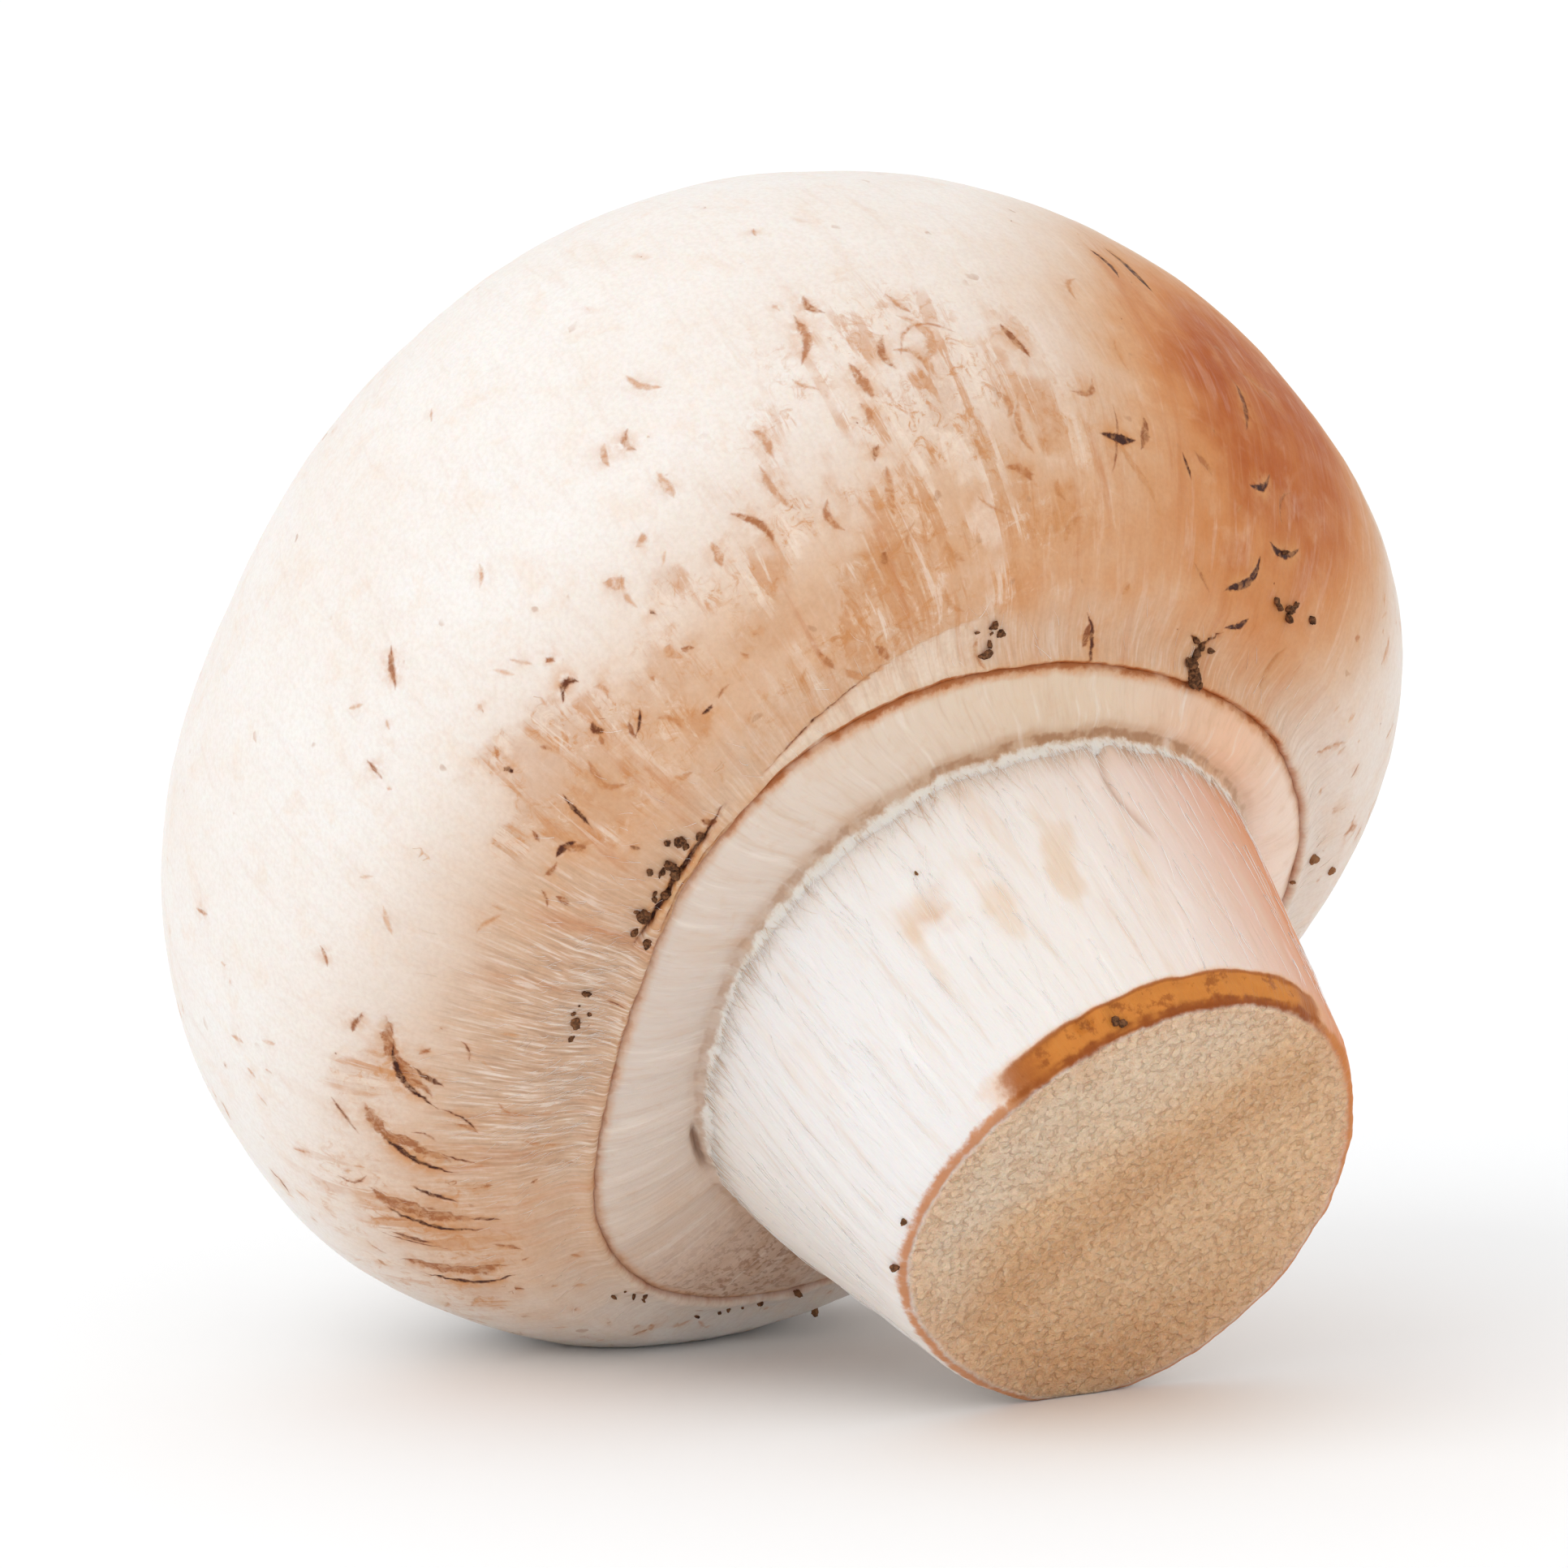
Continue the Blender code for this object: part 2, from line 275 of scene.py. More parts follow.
# ---------------------------------------------------------------------------
# Grids of vertices: rows of rings, closed by a pole at either end.
# ---------------------------------------------------------------------------
class Turned:
    def __init__(self, pos, ang, pole_first=None, pole_last=None, loop_rows=False):
        """pos: rows x columns x 3, local mm."""
        self.pos, self.ang = pos, ang
        self.pole_first, self.pole_last, self.loop_rows = pole_first, pole_last, loop_rows

    def normals(self):
        du = np.roll(self.pos, -1, 1) - np.roll(self.pos, 1, 1)
        if self.loop_rows:
            dv = np.roll(self.pos, -1, 0) - np.roll(self.pos, 1, 0)
        else:
            dv = np.gradient(self.pos, axis=0)
        n = np.cross(dv, du)
        n /= np.linalg.norm(n, axis=2)[..., None] + 1e-12
        return n

    def at(self, field, row, deg):
        """Bilinear look-up of a rows x columns (x k) field."""
        rows, cols = self.pos.shape[:2]
        c = (np.asarray(deg) - math.degrees(self.ang[0])) / 360.0 * cols
        c0 = np.floor(c).astype(int)
        fc = c - c0
        row = np.clip(row, 0, rows - 1.001)
        r0 = np.floor(row).astype(int)
        fr = row - r0
        if field.ndim == 3:
            fc, fr = fc[..., None], fr[..., None]
        a = field[r0, c0 % cols] * (1 - fc) + field[r0, (c0 + 1) % cols] * fc
        b = field[r0 + 1, c0 % cols] * (1 - fc) + field[r0 + 1, (c0 + 1) % cols] * fc
        return a * (1 - fr) + b * fr

    def mesh(self, name, attrs, vectors, uv, uv_close=None):
        """attrs: name -> rows x columns.  uv: rows x columns x 2 in 0..1.
        uv_close: the chart row after the last one, where the rows form a loop."""
        rows, cols = self.pos.shape[:2]
        verts = world(self.pos).reshape(-1, 3)
        extra = []
        faces4 = []
        idx = np.arange(rows * cols).reshape(rows, cols)
        nxt = np.roll(idx, -1, 1)
        last = rows if self.loop_rows else rows - 1
        for r in range(last):
            a, b = idx[r], nxt[r]
            if self.loop_rows:
                c, d = np.roll(idx[(r + 1) % rows], -1), idx[(r + 1) % rows]
            else:
                c, d = nxt[r + 1], idx[r + 1]
            faces4.append(np.stack([a, d, c, b], 1))
        quads = np.concatenate(faces4)
        tris = []
        for pole, r in ((self.pole_first, 0), (self.pole_last, rows - 1)):
            if pole is None:
                continue
            k = rows * cols + len(extra)
            extra.append(world(np.array(pole)))
            a, b = idx[r], nxt[r]
            pk = np.full(cols, k)
            tris.append(np.stack([pk, a, b] if r == 0 else [pk, b, a], 1))
        if extra:
            verts = np.concatenate([verts, np.array(extra)])
        tri = np.concatenate(tris) if tris else np.zeros((0, 3), int)
        # lies on the floor: soft flesh gives instead of sinking in
        z = verts[:, 2]
        verts[:, 2] = np.where(z < 0.5, 0.5 * (z + np.sqrt(z * z + 0.05 ** 2)), z)
        me = bpy.data.meshes.new(name)
        me.vertices.add(len(verts))
        me.vertices.foreach_set("co", (verts * 0.001).astype(np.float32).ravel())
        nq, nt = len(quads), len(tri)
        loops = np.concatenate([quads.ravel(), tri.ravel()]).astype(np.int32)
        me.loops.add(len(loops))
        me.loops.foreach_set("vertex_index", loops)
        me.polygons.add(nq + nt)
        starts = np.concatenate([np.arange(nq) * 4, nq * 4 + np.arange(nt) * 3]).astype(np.int32)
        me.polygons.foreach_set("loop_start", starts)
        me.polygons.foreach_set("use_smooth", np.ones(nq + nt, bool))
        me.update(calc_edges=True)
        me.validate()
        pad = len(extra)

        def full(field):
            flat = field.reshape(rows * cols, -1)
            ends = []
            if self.pole_first is not None:
                ends.append(field[0].reshape(cols, -1).mean(0))
            if self.pole_last is not None:
                ends.append(field[-1].reshape(cols, -1).mean(0))
            return np.concatenate([flat, np.array(ends).reshape(pad, -1)]) if pad else flat

        for key, field in attrs.items():
            a = me.attributes.new(key, "FLOAT", "POINT")
            a.data.foreach_set("value", full(field).astype(np.float32).ravel())
        for key, field in vectors.items():
            a = me.attributes.new(key, "FLOAT_VECTOR", "POINT")
            a.data.foreach_set("vector", full(field).astype(np.float32).ravel())
        layer = me.uv_layers.new(name="OFBake")
        per_vertex = full(uv)
        corner = loops.copy()
        if uv_close is not None:
            first = len(per_vertex)
            per_vertex = np.concatenate([per_vertex, uv_close])
            band = corner[(last - 1) * cols * 4:last * cols * 4]
            band[band < cols] += first
        layer.data.foreach_set("uv", per_vertex[corner].astype(np.float32).ravel())
        obj = bpy.data.objects.new(name, me)
        bpy.context.scene.collection.objects.link(obj)
        return obj


def disc_uv(ang, radial, biggest):
    """A round chart with no seam: the distance from the pole becomes radius."""
    k = 0.49 * radial / biggest
    return np.stack([0.5 + k * np.cos(ang), 0.5 + k * np.sin(ang)], -1)


# ---------------------------------------------------------------------------
# The cap
# ---------------------------------------------------------------------------
def cap_line():
    top = [(CAP_RADIUS * math.cos(t) ** (2 / CAP_POWER_TOP) if t < math.pi / 2 else 0.0,
            CAP_RISE * math.sin(t) ** (2 / CAP_POWER_TOP))
           for t in (math.pi / 2 * (1 - i / 500.0) for i in range(501))]
    t_lip = math.acos((LIP_START_RADIUS / CAP_RADIUS) ** (CAP_POWER_LOW / 2))
    low = [(CAP_RADIUS * math.cos(t) ** (2 / CAP_POWER_LOW),
            -CAP_DROP * math.sin(t) ** (2 / CAP_POWER_LOW))
           for t in (t_lip * i / 300.0 for i in range(1, 301))]
    r0, z0 = low[-1]
    deep = MARGIN_DEPTH + 0.25
    lip = [(r0 - (r0 - MARGIN_RADIUS - 0.45) * math.sin(a),
            z0 - (deep + z0) * (1.0 - math.cos(a)) ** 0.8)
           for a in (math.pi / 2 * i / 5.0 for i in range(1, 5))]
    lip += [(MARGIN_RADIUS + 0.25, -deep), (MARGIN_RADIUS, -MARGIN_DEPTH)]
    round_lip = chaikin([low[-12]] + lip, 3)
    outer = np.array(top + low[:-12] + [tuple(p) for p in round_lip])
    seat = MARGIN_DEPTH - VEIL_THICKNESS - GAP
    inner = np.array([(MARGIN_RADIUS, -MARGIN_DEPTH + 0.12), (MARGIN_RADIUS, -seat),
                      (STEM_TOP_RADIUS + GAP, -seat),
                      (STEM_TOP_RADIUS + GAP, -(STEM_TOP_DEPTH - GAP)),
                      (0.4, -(STEM_TOP_DEPTH - GAP))])
    return outer, inner


def cap_spacing(r, z, at, total):
    if z > 0:
        return 0.29 + 0.25 * min(1.0, z / 10.0)
    if z > -10.6:
        return 0.225
    return 0.10


CAP_COLUMNS = 480
outer_line, inner_line = cap_line()
cap_rz, cap_at = resample(outer_line, cap_spacing)
cap_rz = cap_rz[1:]                       # the pole is its own vertex
cap_at = cap_at[1:]
ring_at = cap_at[-1]
hid_rz, hid_at = resample(inner_line, lambda r, z, a, t: 0.25 if a < 0.5 else 1.5)
all_rz = np.concatenate([cap_rz, hid_rz])
all_s = np.concatenate([ring_at - cap_at, -(hid_at + 0.12)])
ang = (np.arange(CAP_COLUMNS) / CAP_COLUMNS * 2 - 1) * math.pi
deg1 = np.degrees(ang)
R, A = np.broadcast_arrays(all_rz[:, 0:1], ang[None, :])
Z = np.broadcast_to(all_rz[:, 1:2], R.shape)
S = np.broadcast_to(all_s[:, None], R.shape)
DEG = np.broadcast_to(deg1[None, :], R.shape)
n_out = len(cap_rz)

pos = press_cap(R, Z, A)
hidden = np.zeros(R.shape, bool)
hidden[n_out:] = True
pos_h = press_cap(R, Z, A, w=1.0)
socket = hidden & (R < STEM_TOP_RADIUS + GAP + 0.01)
pos = np.where(hidden[..., None], pos_h, pos)
pos = np.where(socket[..., None], press_stem(R, Z, A), pos)
# a ragged edge, fading up the cap
jit = margin_jitter(A) * np.exp(-np.maximum(S, 0.0) / 1.6) * (S > -0.6)
radial = np.stack([np.cos(A), np.sin(A), 0 * A], -1)
pos = pos + radial * jit[..., None]
cap = Turned(pos.copy(), ang, pole_first=(0, 0, CAP_RISE),
             pole_last=(0.5, -0.7, -(STEM_TOP_DEPTH - GAP)))
nrm = cap.normals()
base = pos.copy()

# -- soft fields of colour ---------------------------------------------------
wob = fbm(base, 9.0, 3, seed=41)
wob2 = fbm(base, 3.0, 3, seed=42)
wob3 = fbm(base, 1.1, 3, seed=43)
# how tan the skin looks, 0 ivory to 1 deep tan: an ivory crown, a margin that
# deepens to tan as it rolls in, paler underneath where painted light stands in for light from the floor,
# paler on the far side, and one wide, deep tan patch on the flank with a warm shoulder beside it,
# partly a real stain and partly painted shade with painted warm bounce light
MARGIN_TAN = 0.54           # beside the edge
MARGIN_FADES = (4.0, 14.0)  # mm above the edge
STAIN_AND_SHADE_AT = (-58.0, 13.0)    # degrees round, mm above the edge
STAIN_AND_SHADE_RADIUS = 11.5
ask_a = DEG + (4.0 * wob2 + 2.5 * wob3) * 12.0 / np.maximum(R, 3.0)
ask_s = S + 1.1 * wob2 + 0.6 * wob3
open_side = 1.0 - ramp(np.abs(turn_of(ask_a, -145.0)), 80.0, 120.0)
# painted light: less tan where the cap faces the floor, standing in for light thrown up from below
painted_floor_light = np.exp(-(turn_of(ask_a, 90.0) / 30.0) ** 2)
margin_tan = (MARGIN_TAN * (1.0 - ramp(ask_s, *MARGIN_FADES))
              * (0.45 + 0.55 * open_side) * (1.0 - 0.7 * painted_floor_light))
# the flank patch and its shoulder: partly a real stain, partly painted shade and painted warm bounce light
stain_and_shade_x = turn_of(ask_a, STAIN_AND_SHADE_AT[0]) * 24.0 * math.pi / 180.0
stain_and_painted_shade = 1.0 - ramp(np.hypot(stain_and_shade_x, ask_s - STAIN_AND_SHADE_AT[1]) / STAIN_AND_SHADE_RADIUS + 0.14 * wob, 0.25, 1.45)
shoulder_tan_and_shade = np.exp(-(turn_of(ask_a, -96.0) / 18.0) ** 2 - ((ask_s - 12.0) / 8.0) ** 2)
tone = 0.05 + 0.03 * wob + margin_tan + 0.26 * shoulder_tan_and_shade
tone = np.clip(tone + (1.0 - tone) * stain_and_painted_shade, 0.0, 1.0)
tan = np.clip((tone - 0.35) / 0.65, 0, 1)


def patch(deg0, s0, wide, high, lean=0.0, rough=0.8, seed=50, sharp=0.35):
    k = np.interp(s0, all_s[::-1], all_rz[::-1, 0]) * math.pi / 180
    x = turn_of(DEG, deg0) * k
    y = S - s0
    c, s_ = math.cos(math.radians(lean)), math.sin(math.radians(lean))
    u, v = (x * c + y * s_) / wide, (-x * s_ + y * c) / high
    e = 1.0 - np.sqrt(u * u + v * v) + rough * (0.55 * fbm(base, 2.2, 3, seed) + 0.35 * fbm(base, 0.7, 2, seed + 1))
    return ramp(e, 0.0, sharp)


bruise = np.maximum.reduce([
    0.75 * patch(-154, 7.0, 3.4, 4.0, 20, 0.9, 50, 0.6),
    1.0 * patch(-163.0, 7.2, 1.0, 0.9, 0, 0.7, 52, 0.5),
    0.55 * patch(-139, 6.4, 2.6, 1.6, 10, 1.2, 54, 0.5),
    0.50 * patch(-128, 5.6, 2.2, 1.0, -10, 1.3, 56, 0.5),
    0.45 * patch(-133, 9.4, 1.2, 1.0, 0, 1.3, 58, 0.6),
    0.55 * patch(-116, 5.4, 2.6, 1.2, 10, 1.5, 60, 0.6),
    0.55 * patch(-102.5, 12.4, 1.0, 2.6, -15, 0.9, 62, 0.6),
    0.42 * patch(-99.5, 8.0, 1.2, 2.8, 10, 1.0, 64, 0.6),
    0.45 * patch(162, 8.8, 2.2, 1.2, -10, 1.3, 66, 0.6),
    0.60 * patch(143, 6.2, 3.2, 1.3, -20, 1.4, 68, 0.6),
    0.50 * patch(128, 5.6, 2.6, 1.0, -20, 1.4, 70, 0.6),
    # the far side
    0.55 * patch(38, 13.0, 3.2, 2.2, 30, 1.2, 72, 0.6),
    0.40 * patch(74, 24.0, 2.4, 1.6, -20, 1.3, 74, 0.6),
    0.45 * patch(5, 30.0, 1.8, 2.6, 10, 1.2, 76, 0.6),
    0.35 * patch(-150, 33.0, 2.2, 1.3, 10, 1.3, 78, 0.6),
    0.30 * patch(150, 41.0, 2.2, 1.6, 0, 1.4, 80, 0.6),
])
felt = (ramp(turn_of(DEG, 172.0) + 8 * wob2, -36.0, -14.0)
        * (1.0 - ramp(turn_of(DEG, 172.0) + 8 * wob2, 14.0, 34.0))
        * (1.0 - ramp(S + 1.6 * wob2, 4.2, 8.0)))
felt = np.maximum(felt, 0.35 * (1.0 - ramp(S + 1.0 * wob2, 0.6, 3.6)))

# -- lines: cracks, torn scales, flecks --------------------------------------
warp = np.stack([0.42 * fbm(base, 1.3, 3, seed=90), 0.42 * fbm(base, 1.3, 3, seed=91)], -1).reshape(-1, 2)
families = [Marks(DEG.ravel(), S.ravel(), R.ravel(), warp) for _ in range(3)]
for fam in families:
    fam.radius_table(ring_at - cap_at, cap_rz[:, 0])


def room(fam, pts):
    """How far the nearest line of this family is."""
    cols = (np.round((np.array([a for a, _ in pts]) + 180.0) / 360.0 * CAP_COLUMNS).astype(int)) % CAP_COLUMNS
    rows = n_out - 1 - np.round(np.interp([b for _, b in pts], all_s[:n_out][::-1], np.arange(n_out))).astype(int)
    return float(fam.score.reshape(S.shape)[np.clip(rows, 0, n_out - 1), cols].min())


def draw(pts, half, dark, depth, spare=False):
    free = [room(fam, pts) for fam in families]
    best = int(np.argmax(free))
    if spare and free[best] < 0.8:
        return
    families[best].line(pts, half, dark, depth)


def stroke(deg0, s0, heading, length, half, dark, depth, bend=0.0, spare=False):
    """One mark about its middle.  Heading 0 runs round the cap, 90 up it; mm."""
    per_deg = max(float(np.interp(s0, all_s[::-1], all_rz[::-1, 0])), 3.0) * math.pi / 180.0
    c, s_ = math.cos(math.radians(heading)), math.sin(math.radians(heading))
    pts = []
    for t in (-0.5, -0.25, 0.0, 0.25, 0.5):
        along, off = t * length, bend * length * (1.0 - 4.0 * t * t)
        pts.append((deg0 + (along * c - off * s_) / per_deg, max(0.25, s0 + along * s_ + off * c)))
    draw(pts, half, dark, depth, spare)


def tear_top(x):
    """How far the torn strip beside the veil reaches up, x degrees from its middle."""
    return 0.7 + 1.9 * ramp(x, -24.0, 20.0)


# the skin has split beside the edge, in two cracks along it
draw([(a, 0.70 + 0.002 * (a + 155.0) ** 2) for a in range(-168, -141, 5)], 0.13, 0.95, 0.20)
draw([(a, 0.28) for a in range(-164, -143, 5)], 0.09, 0.90, 0.12)
draw([(-118.0 + x, float(tear_top(x))) for x in (-19.0, -14.0, -9.0, -4.0, 1.0)], 0.05, 0.8, 0.14)
# four torn scales side by side, low on the cap, each with a dark torn edge
for k in range(4):
    stroke(166.0 - 11.0 * k, 7.6 - 0.5 * k, 30.0 + 17.0 * k, 4.2, 0.34, 0.55, 0.10, 0.12)
    stroke(163.8 - 11.0 * k, 7.2 - 0.5 * k, 32.0 + 17.0 * k, 3.8, 0.13, 1.00, 0.06, 0.16)
# splits where the stain meets the edge
stroke(-67.0, 1.5, 65.0, 2.4, 0.10, 1.0, 0.14, 0.10)
stroke(-69.5, 1.9, 160.0, 0.9, 0.08, 1.0, 0.10)
stroke(-52.5, 2.3, 95.0, 2.1, 0.10, 0.35, 0.10, 0.12)
stroke(-31.0, 2.3, 60.0, 2.0, 0.09, 0.35, 0.08)
# the far side: a few torn scales and creases of the same kind
for deg0, s0, heading, length in ((41, 12, 62, 4.0), (34, 14, 25, 2.4), (75, 23, 30, 3.0),
                                  (7, 30, 65, 4.2), (-148, 33, 35, 1.8), (63, 7, 50, 3.6),
                                  (14, 6.5, 70, 3.4), (-10, 11, 75, 3.6), (114, 33, 20, 1.8)):
    stroke(deg0, s0, heading, length, 0.19, 0.48, 0.055, 0.12)
# Where the skin is scuffed: middle angle and mm above the edge, how far that
# reaches in degrees and mm, how many marks, the way they run and how much that
# varies, then a usual length, half width, darkness and depth.
SCUFFED = (
    (150.0, 7.2, 14.0, 2.6, 26, 52.0, 28.0, 1.3, 0.11, 0.60, 0.030),    # round the torn scales
    (-152.0, 6.2, 9.0, 2.4, 18, 70.0, 60.0, 0.8, 0.13, 0.65, 0.025),     # round the bruise
    (-137.0, 5.2, 8.0, 2.2, 16, 80.0, 50.0, 0.8, 0.15, 0.48, 0.012),
    (-117.0, 9.5, 10.0, 4.2, 26, 92.0, 22.0, 1.3, 0.14, 0.40, 0.012),    # streaks up the cap
    (-97.0, 11.5, 11.0, 3.6, 24, 95.0, 26.0, 1.4, 0.17, 0.46, 0.014),
    (-68.0, 9.5, 12.0, 4.2, 16, 85.0, 45.0, 2.0, 0.16, 0.85, 0.020),     # on the stain
)
rng = np.random.RandomState(17)
for deg0, s0, reach_a, reach_s, count, heading, fan, length, half, dark, depth in SCUFFED:
    for _ in range(count):
        stroke(deg0 + rng.normal(0, reach_a), max(1.0, s0 + rng.normal(0, reach_s)),
               heading + rng.normal(0, fan), length * (0.5 + rng.gamma(2.0, 0.3)),
               half * (0.5 + 0.9 * rng.rand()), min(1.0, dark * (0.6 + 0.8 * rng.rand())),
               depth, rng.normal(0, 0.16), spare=True)
# many small flecks all over, most of them running up the cap
rng = np.random.RandomState(5)
for _ in range(520):
    s0 = 1.2 + 46.0 * (1 - math.sqrt(1 - 0.96 * rng.rand())) if rng.rand() < 0.72 else 1.0 + 13.0 * rng.rand()
    a0 = rng.uniform(-180, 180)
    rr = float(np.interp(s0, all_s[::-1], all_rz[::-1, 0]))
    if s0 > 15 and rng.rand() > rr / 24.5:
        continue
    if (-180 < a0 < -135 or a0 > 165) and rng.rand() < 0.6:
        continue
    if -140 < a0 < -45 and rng.rand() < 0.72:
        continue
    length = rng.gamma(2.2, 0.22) + 0.15
    lean = rng.normal(90, 45)
    dx = math.cos(math.radians(lean)) * length / (max(rr, 3.0) * math.pi / 180)
    dy = math.sin(math.radians(lean)) * length
    half = min(0.18, 0.05 + 0.06 * rng.rand() + 0.05 * length * rng.rand())
    dark = 0.12 + 0.5 * rng.rand() ** 2.0
    bend = rng.normal(0, 0.15)
    draw([(a0 - dx / 2, s0 - dy / 2), (a0 + bend * dx, s0 + bend), (a0 + dx / 2, s0 + dy / 2)],
         half, dark, 0.010, spare=True)
for _ in range(110):                       # dark pin pricks
    s0, a0 = 1.5 + 44.0 * rng.rand() ** 1.3, rng.uniform(-180, 180)
    draw([(a0, s0), (a0 + 0.25, s0 + 0.10)], 0.04 + 0.04 * rng.rand(), 0.75 + 0.25 * rng.rand(), 0.01, spare=True)

line_attrs = {}
m_halo = np.zeros(S.shape)
m_cut = np.zeros(S.shape)
m_curl = np.zeros(S.shape)
for k, fam in enumerate(families):
    gap_w = (np.abs(fam.d) - fam.w)
    line_attrs["line_d%d" % k] = fam.d.reshape(S.shape)
    line_attrs["line_w%d" % k] = np.where(gap_w < 0.42, fam.w, -1.0).reshape(S.shape)
    line_attrs["line_k%d" % k] = fam.dark.reshape(S.shape)
    m_halo = np.maximum(m_halo, (fam.dark * np.exp(-np.maximum(gap_w, 0.0) / 0.30) * (fam.w > 0)
                                 * np.minimum(1.0, fam.w / 0.12)).reshape(S.shape))
    m_cut = np.maximum(m_cut, (fam.depth * fam.cover(0.12)).reshape(S.shape))
    m_curl = np.maximum(m_curl, (np.exp(-((gap_w - 0.14) / 0.14) ** 2) * fam.depth * (fam.w > 0)
                                 * (fam.d > 0)).reshape(S.shape))

# -- the pale strip between the torn skin and the veil ------------------------
top_of_tear = tear_top(turn_of(DEG, -118.0))
tear = ramp(turn_of(DEG, -118.0), -21, -17) * (1 - ramp(turn_of(DEG, -118.0), 6, 19))
tear *= ramp(top_of_tear - S, 0.0, 0.10) * (S > -0.2)

# -- relief --------------------------------------------------------------------
streak = np.stack([np.cos(A) * 16, np.sin(A) * 16, S * 0.13], -1)
near_edge = 1.0 - ramp(S, 2.0, 9.0)
relief = 0.20 * fbm(base, 13.0, 2, seed=1) + 0.055 * fbm(base, 4.2, 3, seed=2) + 0.018 * wob3
relief += near_edge * (0.075 * fbm(streak, 1.1, 2, seed=3) + 0.040 * fbm(streak, 0.42, 2, seed=4))
relief += (1.0 - ramp(S, 0.6, 3.2)) * 0.10 * fbm(streak, 2.3, 2, seed=5)
relief += (0.25 + 0.75 * (1 - near_edge)) * 0.012 * fbm(streak, 0.7, 2, seed=6)
relief -= 0.10 * bruise * (0.6 + 0.6 * wob3) + 0.03 * felt
relief -= m_cut
relief += 0.45 * m_curl
relief -= 0.12 * tear
relief *= ramp(S, -0.05, 0.25)
cap.pos = base + nrm * relief[..., None]
# a low crown dimple and a gentle lean so that the hidden side isn't a true dome
cap.pos[..., 2] -= 0.35 * np.exp(-((cap.pos[..., 0] - 3) ** 2 + (cap.pos[..., 1] + 2) ** 2) / 60.0) * (Z > 0)
cap.pole_first = tuple(cap.pos[0].mean(0) + np.array((0, 0, 0.002)))

# -- colour --------------------------------------------------------------------
def lin(r, g, b):
    c = np.array((r, g, b), float) / 255.0
    return np.where(c <= 0.04045, c / 12.92, ((c + 0.055) / 1.055) ** 2.4)


def lay(tint, mask, colour):
    m = np.clip(mask, 0, 1)[..., None]
    return tint * (1 - m) + colour * m


TONE_STEPS = (0.0, 0.14, 0.27, 0.42, 0.56, 0.70, 0.85, 1.0, 1.12)
TONE_COLOURS = np.array([lin(240, 236, 232), lin(237, 228, 220), lin(232, 218, 206), lin(225, 202, 183),
                         lin(218, 182, 152), lin(212, 158, 114), lin(204, 134, 78), lin(176, 86, 14), lin(152, 62, 0)])
spread = tone + 0.05 * wob + 0.06 * wob2 + 0.05 * wob3
cap_tint = np.stack([np.interp(spread, TONE_STEPS, TONE_COLOURS[:, k]) for k in range(3)], -1)
cap_tint = lay(cap_tint, 0.62 * bruise, lin(198, 146, 104))
cap_tint = lay(cap_tint, 0.55 * felt, lin(196, 166, 142))
cap_tint = lay(cap_tint, 0.75 * tear, lin(234, 214, 194))
scuff = patch(-91, 8.6, 1.6, 0.9, 20, 1.1, 92, 0.7)
cap_tint = lay(cap_tint, 0.40 * scuff, lin(238, 214, 192))

mottle = np.clip(0.9 * bruise + 0.8 * np.exp(-((S - 5.0) / 3.6) ** 2) * np.exp(-(turn_of(DEG, -126.0) / 24.0) ** 2)
                 + 0.75 * np.exp(-((S - 10.0) / 6.5) ** 2) * np.exp(-(turn_of(DEG, -104.0) / 17.0) ** 2)
                 + 0.5 * np.exp(-((S - 7.0) / 5.0) ** 2) * np.exp(-(turn_of(DEG, 140.0) / 22.0) ** 2)
                 + 0.35 * np.exp(-((S - 8.0) / 7.0) ** 2) * np.exp(-(turn_of(DEG, 30.0) / 60.0) ** 2), 0, 1) * (1 - 0.7 * felt)
ring_dark = 0.43 + 0.57 * (1.0 - ramp(np.abs(turn_of(deg1, -92.0)), 44.0, 62.0))    # darkest along the top
RING = np.broadcast_to(ring_dark[None, :], S.shape)
cap_fib = np.stack([np.cos(A) * 16, np.sin(A) * 16, S * 0.10], -1)
cap_obj = cap.mesh(
    "mushroom_cap",
    {"tan": tan, "mottle": mottle, "bruise": bruise, "felt": felt, "edge_mm": S, "halo": m_halo, "tear": tear, "ring": RING,
     **line_attrs},
    {"fib": cap_fib, "tint": cap_tint},
    disc_uv(A, np.broadcast_to(np.concatenate([cap_at, ring_at + 0.12 + hid_at])[:, None], A.shape),
            ring_at + 0.2 + hid_at[-1]))
cap_nrm = cap.normals()


# ---------------------------------------------------------------------------
# The veil: a closed ring of silky skin between the cap's edge and the stem
# ---------------------------------------------------------------------------
def press_veil(r, z, a):
    w = ramp(r, VEIL_INNER_RADIUS, MARGIN_RADIUS - GAP)[..., None]
    outer = press_cap(r, z * 0 - MARGIN_DEPTH, a)
    inner = press_stem(r, z * 0 - MARGIN_DEPTH, a)
    p = inner * (1 - w) + outer * w
    p[..., 2] = z
    return p


